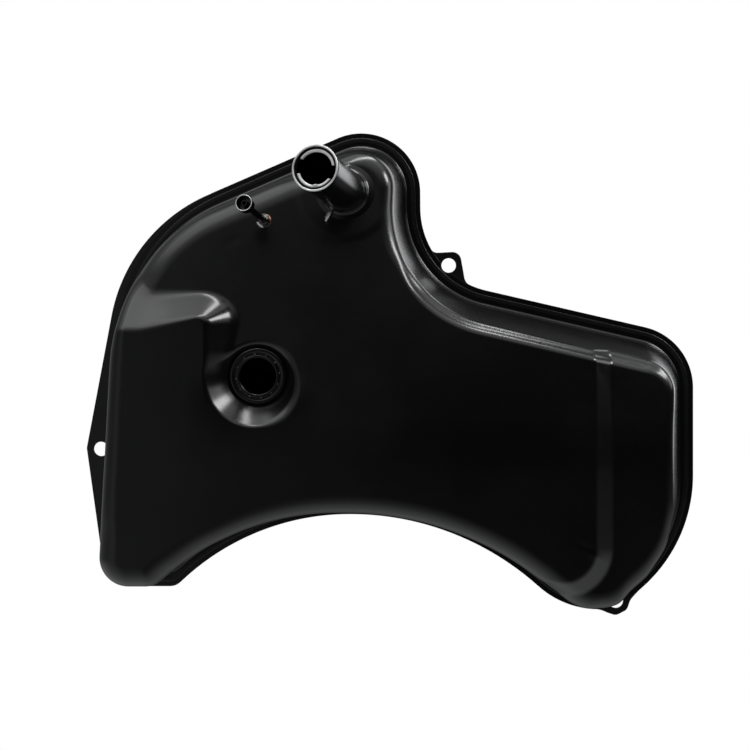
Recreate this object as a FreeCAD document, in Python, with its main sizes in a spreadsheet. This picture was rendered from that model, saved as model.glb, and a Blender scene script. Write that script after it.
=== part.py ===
import FreeCAD, Part
# Steel fuel tank: two pressings joined by a vertical seam flange, with a filler
# neck, a vent pipe, a level-sender port and three fixing ears.
#
# Frame: millimetres, +Z up. The seam plane is the XZ plane (Y = 0). The front,
# with the filler, faces -Y. The origin is the centre of the upper ear's hole on
# the seam plane, and +X runs to the right along the tank's long side.
import math
import os
import Sketcher
from FreeCAD import Vector, Placement, Rotation

doc = FreeCAD.newDocument("fuel_tank")

# ---------------------------------------------------------- driving dimensions
# Alias and value, in millimetres, degrees or a count.
DIMS = [
    # pressings; the drafts are wall angles away from the Y axis
    ("sheet_gauge", 1.0), ("front_depth", 112.0), ("back_depth", 24.0),
    ("roof_slope", 10.7), ("roof_break_z", -169.6), ("terrace_drop", 13.0),
    ("draft_steep", 3.0), ("draft_low", 8.0), ("draft_soft", 13.0), ("draft_back", 20.0),
    ("rim_fillet", 12.0), ("back_fillet", 6.0), ("bead_height", 3.0), ("bead_width", 16.0),
    ("dish_floor", 89.0), ("dish_radius", 29.0), ("dish_wall_angle", 40.0),
    ("weld_width", 5.0), ("weld_height", 0.35), ("weld_inset", 7.2),
    # ears
    ("ear_hole_dia", 14.5), ("doubler_dia", 21.0), ("doubler_gauge", 1.5),
    # filler neck and its collar
    ("neck_dia", 40.0), ("neck_wall", 1.2), ("neck_length", 108.0),
    ("collar_foot_dia", 54.0), ("collar_top_dia", 43.0), ("collar_height", 7.0),
    ("collar_fit_dia", 40.2),
    # bayonet mouth
    ("mouth_dia", 43.4), ("mouth_seat_dia", 40.2), ("mouth_skirt", 6.0),
    ("mouth_height", 3.2), ("mouth_shoulder", 1.6), ("mouth_gap", 0.05),
    ("crown_outer_inset", 0.9), ("crown_inner_inset", 2.4),
    ("lip_gauge", 1.2), ("lip_dia", 30.0), ("lip_gap_angle", 42.0), ("lip_gap_dia", 35.0),
    ("lip_bead_dia", 38.6), ("lip_bead_top_inset", 0.7), ("lip_bead_foot_inset", 1.4),
    ("stop_length", 3.2), ("stop_width", 2.2), ("stop_height", 1.4),
    # vent pipe, cup, boss and inner tube
    ("vent_dia", 6.0), ("vent_bore", 4.0), ("vent_length", 92.0),
    ("cup_dia", 15.4), ("cup_gauge", 0.8), ("cup_depth", 11.0), ("cup_fit_dia", 6.1),
    ("cup_proud", 1.2), ("cup_chamfer", 1.4), ("cup_inner_chamfer", 1.9),
    ("boss_dia", 14.0), ("boss_fit_dia", 6.1), ("boss_height", 3.4), ("boss_taper", 2.2),
    ("inner_vent_dia", 8.0), ("inner_vent_bore", 6.4), ("inner_vent_overlap", 7.0),
    ("inner_vent_drop", 18.0), ("inner_vent_run", 74.0), ("inner_vent_bend", 12.0),
    # sender port
    ("port_dia", 34.0), ("port_ring_dia", 53.5), ("port_ring_gauge", 3.0),
    ("port_shell_dia", 50.0), ("pip_circle_dia", 41.0), ("pip_dia", 2.2),
    ("pip_height", 0.6), ("pip_count", 12),
    # hose clip
    ("clip_length", 11.0), ("clip_width", 3.4), ("clip_gauge", 1.0), ("clip_stand", 7.0),
    # bushes, strainer and baffle
    ("bush_dia", 24.0), ("bush_length", 14.0), ("bush_bore", 15.0),
    ("bush_flange_dia", 32.0), ("bush_flange_gauge", 2.5), ("bush_hole_dia", 24.2),
    ("touch_gap", 0.02),
    ("strainer_dia", 20.0), ("strainer_bore", 18.6), ("strainer_length", 34.0),
    ("strainer_end", 1.0),
    ("baffle_gauge", 1.0), ("baffle_tall", 176.0), ("baffle_depth", 92.0),
    ("baffle_foot", 14.0), ("baffle_hole_dia", 34.0), ("baffle_hole_pitch", 54.0),
    ("baffle_hole_shift", 7.0),
]
sheet = doc.addObject("Spreadsheet::Sheet", "dims")
for row, (alias, amount) in enumerate(DIMS, start=1):
    sheet.set("A%d" % row, alias)
    sheet.set("B%d" % row, repr(amount))
    sheet.setAlias("B%d" % row, alias)
doc.recompute()


def dim(alias):
    return float(sheet.get(alias))


def unit(x, y, z):
    vector = Vector(x, y, z)
    vector.normalize()
    return vector


# ------------------------------------------------- shared lines of the design
GAUGE = dim("sheet_gauge")
SLOPE = math.tan(math.radians(dim("roof_slope")))
DEPTH = dim("front_depth")
BACK_DEPTH = dim("back_depth")
BREAK_Z = dim("roof_break_z")
FRONT_DRAFTS = {name: dim("draft_" + name) for name in ("soft", "low", "steep")}
BACK_DRAFTS = {name: dim("draft_back") for name in FRONT_DRAFTS}

FRONTWARD = Vector(0, -1, 0)
BACKWARD = Vector(0, 1, 0)
FACE_NORMAL = unit(0.0, -1.0, SLOPE)

NECK_TIP = Vector(-120.7, -155.0, 83.9)
NECK_AXIS = unit(-0.2321, -0.9586, 0.1625)
VENT_TIP = Vector(-187.1, -137.0, 54.2)
VENT_AXIS = unit(-12.4, -75.0, 14.8)
PORT = Vector(-180.1, -dim("dish_floor"), -105.3)
OUTLET = Vector(148.0, BACK_DEPTH, -292.0)
DRAIN = Vector(-300.0, BACK_DEPTH, -272.0)
# hole centres of the upper, left and lower ears
EARS = [Vector(0.0, 0.0, 0.0), Vector(-347.7, 0.0, -183.6), Vector(167.3, 0.0, -335.6)]

HOLE_RADIUS = dim("ear_hole_dia") / 2.0
FRONT_HOLE_RADIUS = HOLE_RADIUS + 1.0
TUBE_HOLE_GAP = 0.05

# Bounds of the cutting tools, all well outside the tank
TOOL_LEFT, TOOL_WIDTH = -460.0, 900.0
TOOL_BOTTOM, TOOL_TOP = -420.0, 260.0

# Lower-left block: its upper right corner at full depth, and its leaning sides
BLOCK_X, BLOCK_Z = -228.2, -61.5
BLOCK_LOW = 76.0
BLOCK_LEAN = 49.0
BLOCK_RUN = 30.0        # how far the leaning sides spread where their roots meet
ROOT_TOLERANCE = 3.5

# Right-hand terrace: the step leans between these two X stations
STEP_TOP_X, STEP_FOOT_X = 135.0, 152.0

# Stiffening beads on the back floor: centre x, centre z, half length, turn
BEADS = [(-215.0, -120.0, 62.0, 0.0), (-150.0, -30.0, 70.0, 25.0), (60.0, -150.0, 95.0, -6.0)]
BEAD_ROOT = 6.0         # how far a bead reaches into the floor

# -------------------------------------------------------------- plan outlines
# Each corner: x, z, radius. A negative radius marks an inside (concave) corner.
# ROOT is the foot of the walls; its fourth column is the draft of the side
# that starts at the corner.
ROOT = [
    (-315.6, 22.3, 150.0, "soft"), (-42.7, 140.9, 44.5, "soft"),
    (-42.2, -21.5, -99.5, "soft"), (229.8, -84.3, 47.5, "soft"),
    (229.8, -273.3, 112.0, "low"), (140.0, -347.3, 56.0, "steep"),
    (10.5, -236.1, -292.0, "steep"), (-199.2, -236.1, -240.0, "steep"),
    (-275.2, -306.1, 18.0, "steep"), (-334.2, -306.1, 30.0, "steep"),
]
# The run of corners that both flange rims share
RIM_SHARED = [
    (-29.2, 162.6, 59.0), (-27.7, -10.0, -85.0), (244.3, -72.8, 62.0),
    (244.3, -280.1, 150.0), (167.3, -343.6, 25.0), (116.7, -343.9, 90.0),
    (5.9, -248.6, -281.5), (-194.3, -248.6, -244.5), (-272.5, -320.6, 15.0),
]
RIM_FRONT = [(-325.2, 33.9, 165.0)] + RIM_SHARED + [(-347.0, -320.6, 40.0)]
RIM_BACK = ([(-362.0, -182.6, 4.0), (-321.1, 35.7, 165.0)] + RIM_SHARED
            + [(-342.7, -320.6, 40.0)])
EAR_TOP = [
    (-24.0, 12.0, 3.0), (11.1, 13.9, 9.0), (18.3, -26.6, 4.0),
    (-8.7, -34.6, 4.0), (-33.7, -6.6, 4.0),
]
EAR_LOW = [
    (145.3, -340.6, 3.0), (158.3, -347.2, 5.0), (167.3, -350.1, 7.0), (178.3, -344.4, 6.0),
    (181.7, -334.6, 6.0), (194.3, -317.6, 4.0), (161.3, -309.6, 4.0),
]


# ------------------------------------------------------------ outline geometry
def offset_corners(corners, offsets):
    """Move every side of a polygon inwards by its own offset."""
    count = len(corners)
    area = sum(corners[i][0] * corners[(i + 1) % count][1]
               - corners[(i + 1) % count][0] * corners[i][1] for i in range(count))
    turn = 1.0 if area > 0 else -1.0
    lines = []
    for i in range(count):
        (x0, z0), (x1, z1) = corners[i][:2], corners[(i + 1) % count][:2]
        length = math.hypot(x1 - x0, z1 - z0)
        dx, dz = (x1 - x0) / length, (z1 - z0) / length
        lines.append((x0 - dz * turn * offsets[i], z0 + dx * turn * offsets[i], dx, dz))
    moved = []
    for i in range(count):
        ax, az, adx, adz = lines[i - 1]
        bx, bz, bdx, bdz = lines[i]
        along = ((bx - ax) * bdz - (bz - az) * bdx) / (adx * bdz - adz * bdx)
        moved.append((ax + adx * along, az + adz * along))
    return moved


def rounded_wire(points, radii, y):
    """Closed wire of tangent arcs and lines at one Y."""
    count = len(points)
    arcs = []
    for i, (x, z) in enumerate(points):
        corner = Vector(x, y, z)
        before, after = points[i - 1], points[(i + 1) % count]
        to_before = unit(before[0] - x, 0.0, before[1] - z)
        to_after = unit(after[0] - x, 0.0, after[1] - z)
        half_angle = math.acos(max(-1.0, min(1.0, to_before.dot(to_after)))) / 2.0
        tangent = radii[i] / math.tan(half_angle)
        bisector = to_before + to_after
        bisector.normalize()
        arcs.append((corner + to_before * tangent,
                     corner + bisector * (radii[i] / math.sin(half_angle) - radii[i]),
                     corner + to_after * tangent))
    edges = []
    for i, (start, middle, end) in enumerate(arcs):
        following = (i + 1) % count
        next_start = arcs[following][0]
        edges.append(Part.Arc(start, middle, end).toShape())
        run_x = points[following][0] - points[i][0]
        run_z = points[following][1] - points[i][1]
        if (next_start.x - end.x) * run_x + (next_start.z - end.z) * run_z <= 0.0:
            raise ValueError("corner radii overlap on side %d" % i)
        edges.append(Part.makeLine(end, next_start))
    return Part.Wire(edges)


def inset_wire(corners, offsets, least_radius, y):
    """Rounded outline with its sides moved in and its radii adjusted to suit."""
    radii = []
    for i, corner in enumerate(corners):
        shift = 0.5 * (offsets[i - 1] + offsets[i])
        radius = corner[2]
        radii.append(max(radius - shift, least_radius) if radius > 0 else shift - radius)
    return rounded_wire(offset_corners(corners, offsets), radii, y)


def root_wire(depth, inset, drafts):
    """A pressing's wall outline at one depth in front of the seam plane."""
    offsets = [inset + depth * math.tan(math.radians(drafts[corner[3]])) for corner in ROOT]
    return inset_wire(ROOT, offsets, 5.0, -depth)


def drafted(depth, inset, drafts):
    """Closed solid between the outlines at the seam plane and at full depth."""
    low = root_wire(0.0, inset, drafts)
    high = root_wire(depth, inset, drafts)
    faces = [Part.Face(low), Part.Face(high)]
    for low_edge, high_edge in zip(low.OrderedEdges, high.OrderedEdges):
        if isinstance(low_edge.Curve, Part.Line):
            a, b = low_edge.Vertexes[0].Point, low_edge.Vertexes[-1].Point
            c, d = high_edge.Vertexes[0].Point, high_edge.Vertexes[-1].Point
            faces.append(Part.Face(Part.makePolygon([a, b, d, c, a])))
        else:
            faces.append(Part.makeRuledSurface(low_edge, high_edge))
    shell = Part.makeShell(faces)
    shell.sewShape()
    solid = Part.makeSolid(shell)
    if solid.Volume < 0:
        solid.reverse()
    return solid


def polygon(points):
    return Part.makePolygon([Vector(*point) for point in points + points[:1]])


def prism(points, direction):
    return Part.Face(polygon(points)).extrude(Vector(*direction))


def plate(corners, y0, y1, inset=0.0):
    wire = inset_wire(corners, [inset] * len(corners), 1.0, y0)
    return Part.Face(wire).extrude(Vector(0, y1 - y0, 0))


def bore(centre, radius, half_length, direction):
    """Cylinder centred on a point, along a direction."""
    return Part.makeCylinder(radius, 2 * half_length, centre - direction * half_length, direction)


def tube_cutter(tip, axis, radius, length):
    """Cylinder from inside the tank to 20 mm beyond a tube's tip."""
    return Part.makeCylinder(radius, length + 20.0, tip - axis * length, axis)


def facing(direction, roll_x=Vector(1, 0, 0)):
    """Rotation whose local Z is the direction and whose local X is near roll_x."""
    w = unit(*direction)
    u = unit(*(roll_x - w * roll_x.dot(w)))
    v = w.cross(u)
    matrix = FreeCAD.Matrix(u.x, v.x, w.x, 0, u.y, v.y, w.y, 0, u.z, v.z, w.z, 0, 0, 0, 0, 1)
    return Placement(matrix).Rotation


def roof(z):
    """Distance of the main face in front of the seam plane."""
    return DEPTH - max(0.0, z - BREAK_Z) * SLOPE


def meet_face(tip, axis):
    """Point where a leaning axis meets the main face, found by bisection."""
    near, far = 0.0, 160.0
    for _ in range(60):
        middle = 0.5 * (near + far)
        point = tip - axis * middle
        if -point.y > roof(point.z):
            near = middle
        else:
            far = middle
    return tip - axis * near


# --------------------------------------------------------------- the pressings
def roof_cutter(inset):
    """Everything in front of the main face, which falls away above the break."""
    y_flat = -(DEPTH - inset)
    y_top = -(DEPTH - inset - (TOOL_TOP - BREAK_Z) * SLOPE)
    y_far = -(DEPTH + 80.0)
    profile = [(y_flat, TOOL_BOTTOM), (y_flat, BREAK_Z), (y_top, TOOL_TOP),
               (y_far, TOOL_TOP), (y_far, TOOL_BOTTOM)]
    return prism([(TOOL_LEFT, y, z) for y, z in profile], (TOOL_WIDTH, 0, 0))


def block_tool(inset):
    """Lower-left region that keeps the full depth, with leaning sides."""
    top = DEPTH - inset
    grow = (top - BLOCK_LOW) * math.tan(math.radians(BLOCK_LEAN))
    x, z = BLOCK_X - inset, BLOCK_Z - inset

    def rectangle(right, y, upper):
        return [(TOOL_LEFT, y, TOOL_BOTTOM), (right, y, TOOL_BOTTOM),
                (right, y, upper), (TOOL_LEFT, y, upper)]

    leaning = Part.makeLoft([polygon(rectangle(x + grow, -BLOCK_LOW, z + grow)),
                             polygon(rectangle(x, -top, z))], True, True)
    return leaning.fuse(prism(rectangle(x + grow, 0.0, z + grow), (0, -BLOCK_LOW, 0)))


def terrace_tools(inset):
    """Cutters for the right-hand terrace, below and above the roof break."""
    top_x, foot_x = STEP_TOP_X - inset, STEP_FOOT_X - inset
    y_terrace = -(DEPTH - dim("terrace_drop") - inset)
    y_far = -(DEPTH + 60.0)
    right = 420.0
    profile = [(foot_x, y_terrace), (top_x, -(DEPTH - inset)), (top_x - 60.0, y_far),
               (right, y_far), (right, y_terrace)]
    rise = TOOL_TOP - BREAK_Z
    return [prism([(x, y, TOOL_BOTTOM) for x, y in profile], (0, 0, BREAK_Z - TOOL_BOTTOM)),
            prism([(x, y, BREAK_Z) for x, y in profile], (0, rise * SLOPE, rise))]


def front_form(inset):
    """Sharp-edged solid within the front pressing; inset 0 is its outer skin."""
    walls = drafted(DEPTH - inset, inset, FRONT_DRAFTS)
    block = block_tool(inset)
    main = walls.cut(roof_cutter(inset))
    for tool in terrace_tools(inset):
        main = main.cut(tool)
    return main.fuse(walls.common(block)).removeSplitter()


def dish_cutter(inset):
    """Frustum that leaves the pressed dish round the sender port."""
    lean = math.radians(dim("dish_wall_angle"))
    foot_radius = dim("dish_radius") + inset / math.cos(lean)
    tall = 60.0
    foot = Vector(PORT.x, -(dim("dish_floor") - inset), PORT.z)
    return Part.makeCone(foot_radius, foot_radius + tall * math.tan(lean), tall, foot, FRONTWARD)


def is_block_root(edge):
    """True for the root of the block's right side, between roof break and corner."""
    ends = [vertex.Point for vertex in edge.Vertexes]
    low = min(ends, key=lambda point: point.z)
    high = max(ends, key=lambda point: point.z)
    return all(abs(off) < ROOT_TOLERANCE for off in (
        low.x - BLOCK_X, low.z - BREAK_Z,
        high.x - (BLOCK_X + BLOCK_RUN), high.z - (BLOCK_Z + BLOCK_RUN)))


def front_skin(inset):
    """One skin of the front pressing, with its rounded rim and dish."""
    form = front_form(inset).Solids[0]
    # the block's right-hand root runs into the dish and stays sharp
    rim = [edge for edge in form.Edges
           if edge.BoundBox.YMax < -1.0 and edge.BoundBox.YLength <= 60.0
           and not is_block_root(edge)]
    form = form.makeFillet(dim("rim_fillet") - inset, rim).Solids[0]
    form = form.cut(dish_cutter(inset)).Solids[0]
    if not form.isValid():
        raise RuntimeError("the front pressing's skin failed")
    return form


def back_skin(inset):
    """One skin of the back pressing, formed frontward and then mirrored."""
    form = drafted(BACK_DEPTH - inset, inset, BACK_DRAFTS)
    rim = [edge for edge in form.Edges if edge.BoundBox.YMax < -1.0]
    form = form.makeFillet(dim("back_fillet") - inset, rim).Solids[0]
    form = form.mirror(Vector(0, 0, 0), BACKWARD)
    if not form.isValid() or form.Volume < 0.0:
        raise RuntimeError("the back pressing's skin failed")
    radius = dim("bead_width") / 2.0 - inset
    tall = dim("bead_height") + BEAD_ROOT - inset
    y_root = BACK_DEPTH - BEAD_ROOT
    for x, z, half, turn in BEADS:
        bead = Part.makeBox(2 * half, tall, 2 * radius, Vector(-half, y_root, -radius))
        for end in (-half, half):
            bead = bead.fuse(Part.makeCylinder(radius, tall, Vector(end, y_root, 0), BACKWARD))
        bead.Placement = Placement(Vector(x, 0, z), Rotation(BACKWARD, -turn))
        form = form.fuse(bead)
    return form.removeSplitter()


def hollow(outside, inside):
    """The sheet between two skins that share their open face."""
    want = outside.Volume - inside.Volume
    return min(outside.cut(inside).Solids, key=lambda solid: abs(solid.Volume - want))


def seam_opening(drafts, thickness):
    """Inside of the walls, through the flange's thickness."""
    return Part.Face(root_wire(0.0, GAUGE, drafts)).extrude(Vector(0, thickness, 0))


def feature(name, shape):
    obj = doc.addObject("Part::Feature", name)
    obj.Label = name
    obj.Shape = shape
    obj.Placement = Placement()


def front_shell():
    shell = hollow(front_skin(0.0), front_skin(GAUGE))
    opening = seam_opening(FRONT_DRAFTS, -GAUGE)
    shell = shell.fuse(plate(RIM_FRONT, -GAUGE, 0.0).cut(opening)).removeSplitter()
    shell = shell.cut(tube_cutter(NECK_TIP, NECK_AXIS,
                                  dim("neck_dia") / 2.0 + TUBE_HOLE_GAP, 160.0))
    shell = shell.cut(tube_cutter(VENT_TIP, VENT_AXIS,
                                  dim("vent_dia") / 2.0 + TUBE_HOLE_GAP, 100.0))
    shell = shell.cut(bore(PORT, dim("port_shell_dia") / 2.0, 10.0, FRONTWARD))
    for ear in (EARS[0], EARS[2]):
        shell = shell.cut(bore(ear, FRONT_HOLE_RADIUS, 3.0, FRONTWARD))
    shell = shell.Solids[0]
    feature("front_shell", shell)
    return shell


def back_shell():
    shell = hollow(back_skin(0.0), back_skin(GAUGE))
    flange = plate(RIM_BACK, 0.0, GAUGE)
    for ear_outline in (EAR_TOP, EAR_LOW):
        flange = flange.fuse(plate(ear_outline, 0.0, GAUGE))
    shell = shell.fuse(flange.cut(seam_opening(BACK_DRAFTS, GAUGE))).removeSplitter()
    for ear in EARS:
        shell = shell.cut(bore(ear, HOLE_RADIUS, 3.0, BACKWARD))
    for centre in (OUTLET, DRAIN):
        shell = shell.cut(bore(centre, dim("bush_hole_dia") / 2.0, 6.0, BACKWARD))
    feature("back_shell", shell.Solids[0])


def seam_weld(front):
    """Low bead that follows the flange on the front side."""
    inset = dim("weld_inset")
    half = dim("weld_width") / 2.0
    y_top = -GAUGE - dim("weld_height")
    weld = plate(RIM_FRONT, y_top, -GAUGE, inset - half).cut(
        plate(RIM_FRONT, y_top, -GAUGE, inset + half))
    weld = weld.cut(bore(EARS[2], FRONT_HOLE_RADIUS, 3.0, FRONTWARD))
    weld = weld.cut(front)
    feature("seam_weld", weld.Solids[0] if len(weld.Solids) == 1 else weld)


# ---------------------------------------------------------- PartDesign helpers
def body(name, placement):
    obj = doc.addObject("PartDesign::Body", name)
    obj.Label = name
    obj.Placement = placement
    return obj


def origin_item(owner, role):
    return [item for item in owner.Origin.OriginFeatures if item.Role == role][0]


def sketch(owner, name, role="XY_Plane", lift=None):
    sk = owner.newObject("Sketcher::SketchObject", name)
    sk.AttachmentSupport = [(origin_item(owner, role), "")]
    sk.MapMode = "FlatFace"
    if lift:
        sk.setExpression("AttachmentOffset.Base.z", lift)
    return sk


def constrain(sk, *definition):
    return sk.addConstraint(Sketcher.Constraint(*definition))


def drive(sk, expression, *definition):
    """Constraint whose value follows an expression."""
    sk.setExpression("Constraints[%d]" % constrain(sk, *definition), expression)


def segment(sk, x0, y0, x1, y1):
    return sk.addGeometry(Part.LineSegment(Vector(x0, y0, 0), Vector(x1, y1, 0)), False)


def arc(sk, x, y, radius, start, end):
    base = Part.Circle(Vector(x, y, 0), Vector(0, 0, 1), radius)
    return sk.addGeometry(Part.ArcOfCircle(base, start, end), False)


def circle(sk, radius, x=None, y=None):
    """Circle on the sketch origin, or at x, y; all given as expressions."""
    ring = sk.addGeometry(Part.Circle(Vector(1, 1, 0), Vector(0, 0, 1), 1.0), False)
    if x is None:
        constrain(sk, "Coincident", ring, 3, -1, 1)
    else:
        drive(sk, x, "DistanceX", -1, 1, ring, 3, 1.0)
        drive(sk, y, "DistanceY", -1, 1, ring, 3, 1.0)
    drive(sk, radius, "Radius", ring, 1.0)


def value(expression):
    """Number behind sums of aliases and numbers, each perhaps divided."""
    total = 0.0
    for term in expression.replace(" ", "").replace("-", "+-").split("+"):
        if not term:
            continue
        head, *divisors = term.lstrip("-").split("/")
        number = dim(head[len("dims."):]) if head.startswith("dims.") else float(head)
        for divisor in divisors:
            number /= float(divisor)
        total += -number if term.startswith("-") else number
    return total


def outline(sk, points):
    """Closed polygon in an empty sketch, each corner tied to two expressions."""
    count = len(points)
    numbers = [(value(x), value(y)) for x, y in points]
    for i in range(count):
        segment(sk, *numbers[i], *numbers[(i + 1) % count])
    for i in range(count):
        constrain(sk, "Coincident", i, 2, (i + 1) % count, 1)
    for i in range(count):
        # a zero coordinate puts the corner on the other axis
        for kind, axis, expression, number in (("DistanceX", -2, points[i][0], numbers[i][0]),
                                               ("DistanceY", -1, points[i][1], numbers[i][1])):
            if abs(number) < 1e-9:
                constrain(sk, "PointOnObject", i, 1, axis)
            elif "dims." in expression:
                drive(sk, expression, kind, -1, 1, i, 1, number)
            else:
                constrain(sk, kind, -1, 1, i, 1, number)


def pad(owner, name, sk, length):
    obj = owner.newObject("PartDesign::Pad", name)
    obj.Profile = sk
    obj.Reversed = False
    obj.setExpression("Length", length)
    owner.Tip = obj
    doc.recompute()
    return obj


def pocket(owner, name, sk, length, reverse=False):
    before = owner.Shape.Volume
    obj = owner.newObject("PartDesign::Pocket", name)
    obj.Profile = sk
    obj.Reversed = reverse
    obj.setExpression("Length", length)
    owner.Tip = obj
    doc.recompute()
    if not owner.Shape.Volume < before - 1e-6:
        raise RuntimeError("%s cut nothing" % name)
    return obj


def polar(owner, name, original, count):
    obj = owner.newObject("PartDesign::PolarPattern", name)
    obj.Originals = [original]
    obj.Axis = (origin_item(owner, "Z_Axis"), [""])
    obj.Angle = 360.0
    obj.setExpression("Occurrences", count)
    owner.Tip = obj
    doc.recompute()


def turned(name, placement, points):
    """Body revolved about its local Z from an outline of (radius, height)."""
    owner = body(name, placement)
    sk = sketch(owner, name + "_section", "XZ_Plane")
    outline(sk, points)
    obj = owner.newObject("PartDesign::Revolution", name + "_turned")
    obj.Profile = sk
    obj.ReferenceAxis = (sk, ["V_Axis"])
    obj.Angle = 360.0
    owner.Tip = obj
    doc.recompute()
    return owner


def straight_tube(name, tip, axis, length_alias, outer, inner):
    """Tube that ends at its tip; outer and inner are radius expressions."""
    tube = body(name, Placement(tip - axis * dim(length_alias), facing(axis)))
    sk = sketch(tube, name + "_section")
    circle(sk, outer)
    circle(sk, inner)
    pad(tube, name + "_pad", sk, "dims." + length_alias)


def cone_ring(name, tip, axis, foot_radius, top_radius, height, fit_radius):
    """Ring that sits on the sloping face and lets a leaning tube through."""
    solid = doc.addObject("Part::Cone", name + "_solid")
    solid.setExpression("Radius1", foot_radius)
    solid.setExpression("Radius2", top_radius)
    solid.setExpression("Height", height)
    solid.Placement = Placement(meet_face(tip, axis), facing(FACE_NORMAL))
    tool = doc.addObject("Part::Cylinder", name + "_tool")
    tool.setExpression("Radius", fit_radius)
    tool.Height = 220.0
    tool.Placement = Placement(tip - axis * 200.0, facing(axis))
    ring = doc.addObject("Part::Cut", name)
    ring.Base = solid
    ring.Tool = tool
    ring.Label = name


# ------------------------------------------------------------- the filler neck
MOUTH_ROLL = math.radians(-13.5)    # turn of the mouth's local X in the XZ plane
STOP_ANGLE = math.radians(-76.5)    # place of the stop, from the mouth's local X
STOP_RADIUS = 16.9


def bayonet_mouth():
    roll_x = Vector(math.cos(MOUTH_ROLL), 0.0, math.sin(MOUTH_ROLL))
    mouth = turned("bayonet_mouth", Placement(NECK_TIP, facing(NECK_AXIS, roll_x)), [
        ("dims.mouth_seat_dia / 2", "dims.mouth_gap"),
        ("dims.mouth_seat_dia / 2", "0 - dims.mouth_skirt"),
        ("dims.mouth_dia / 2", "0 - dims.mouth_skirt"),
        ("dims.mouth_dia / 2", "dims.mouth_shoulder"),
        ("dims.mouth_dia / 2 - dims.crown_outer_inset", "dims.mouth_height"),
        ("dims.mouth_dia / 2 - dims.crown_inner_inset", "dims.mouth_height"),
        ("dims.lip_bead_dia / 2 - dims.lip_bead_top_inset", "dims.mouth_shoulder"),
        ("dims.lip_bead_dia / 2 - dims.lip_bead_foot_inset", "dims.lip_gauge + dims.mouth_gap"),
        ("dims.lip_dia / 2", "dims.lip_gauge + dims.mouth_gap"),
        ("dims.lip_dia / 2", "dims.mouth_gap"),
    ])

    # two opposite gaps in the lip, cut as sectors
    sk = sketch(mouth, "gap_section")
    half_gap = math.radians(dim("lip_gap_angle") / 2.0)
    radius = dim("lip_gap_dia") / 2.0
    x, y = radius * math.cos(half_gap), radius * math.sin(half_gap)
    lower = segment(sk, 0, 0, x, -y)
    outer = arc(sk, 0, 0, radius, -half_gap, half_gap)
    upper = segment(sk, x, y, 0, 0)
    constrain(sk, "Coincident", lower, 1, -1, 1)
    constrain(sk, "Coincident", lower, 2, outer, 1)
    constrain(sk, "Coincident", outer, 2, upper, 1)
    constrain(sk, "Coincident", upper, 2, lower, 1)
    constrain(sk, "Coincident", outer, 3, -1, 1)
    constrain(sk, "Symmetric", outer, 1, outer, 2, -1)
    drive(sk, "dims.lip_gap_dia / 2", "Radius", outer, radius)
    drive(sk, "dims.lip_gap_angle * 1 deg", "Angle", lower, 1, upper, 2, 2 * half_gap)
    gap_cut = pocket(mouth, "gap_cut", sk, "dims.lip_gauge + 1", reverse=True)
    polar(mouth, "gap_pair", gap_cut, "2")

    # small block on the lip, square to the radius
    sk = sketch(mouth, "stop_section", lift="dims.lip_gauge")
    cos, sin = math.cos(STOP_ANGLE), math.sin(STOP_ANGLE)
    along, out = dim("stop_length") / 2.0, dim("stop_width") / 2.0
    corners = [((STOP_RADIUS + b) * cos - a * sin, (STOP_RADIUS + b) * sin + a * cos)
               for a, b in ((-along, -out), (along, -out), (along, out), (-along, out))]
    outline(sk, [(repr(round(x, 4)), repr(round(y, 4))) for x, y in corners])
    pad(mouth, "stop_pad", sk, "dims.stop_height")


# --------------------------------------------------------------- the vent pipe
def vent_cup():
    foot = VENT_TIP - VENT_AXIS * (dim("cup_depth") - dim("cup_proud"))
    turned("vent_cup", Placement(foot, facing(VENT_AXIS)), [
        ("dims.cup_fit_dia / 2", "0"),
        ("dims.cup_dia / 2 - dims.cup_chamfer", "0"),
        ("dims.cup_dia / 2", "dims.cup_chamfer"),
        ("dims.cup_dia / 2", "dims.cup_depth"),
        ("dims.cup_dia / 2 - dims.cup_gauge", "dims.cup_depth"),
        ("dims.cup_dia / 2 - dims.cup_gauge", "dims.cup_inner_chamfer"),
        ("dims.cup_dia / 2 - dims.cup_inner_chamfer", "dims.cup_gauge"),
        ("dims.cup_fit_dia / 2", "dims.cup_gauge"),
    ])


def vent_inner_tube():
    """Bent tube that sleeves the vent's inner end, then runs up to the right."""
    start = VENT_TIP - VENT_AXIS * (dim("vent_length") - dim("inner_vent_overlap"))
    tube = body("vent_inner_tube",
                Placement(start, facing(VENT_AXIS * -1.0, Vector(0.86, 0, 0.51))))
    path = sketch(tube, "tube_path", "XZ_Plane")
    drop, run, bend = (dim("inner_vent_" + part) for part in ("drop", "run", "bend"))
    leg = segment(path, 0, 0, 0, drop)
    elbow = arc(path, bend, drop, bend, math.pi / 2.0, math.pi)
    reach = segment(path, bend, drop + bend, run, drop + bend)
    constrain(path, "Coincident", leg, 1, -1, 1)
    constrain(path, "Vertical", leg)
    constrain(path, "Tangent", leg, 2, elbow, 2)
    constrain(path, "Tangent", elbow, 1, reach, 1)
    constrain(path, "Horizontal", reach)
    drive(path, "dims.inner_vent_drop", "DistanceY", leg, 1, leg, 2, drop)
    drive(path, "dims.inner_vent_bend", "Radius", elbow, bend)
    drive(path, "dims.inner_vent_run", "DistanceX", -1, 1, reach, 2, run)
    section = sketch(tube, "tube_section")
    circle(section, "dims.inner_vent_dia / 2")
    circle(section, "dims.inner_vent_bore / 2")
    doc.recompute()
    sweep = tube.newObject("PartDesign::AdditivePipe", "tube_sweep")
    sweep.Profile = section
    sweep.Spine = path
    tube.Tip = sweep
    doc.recompute()


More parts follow.
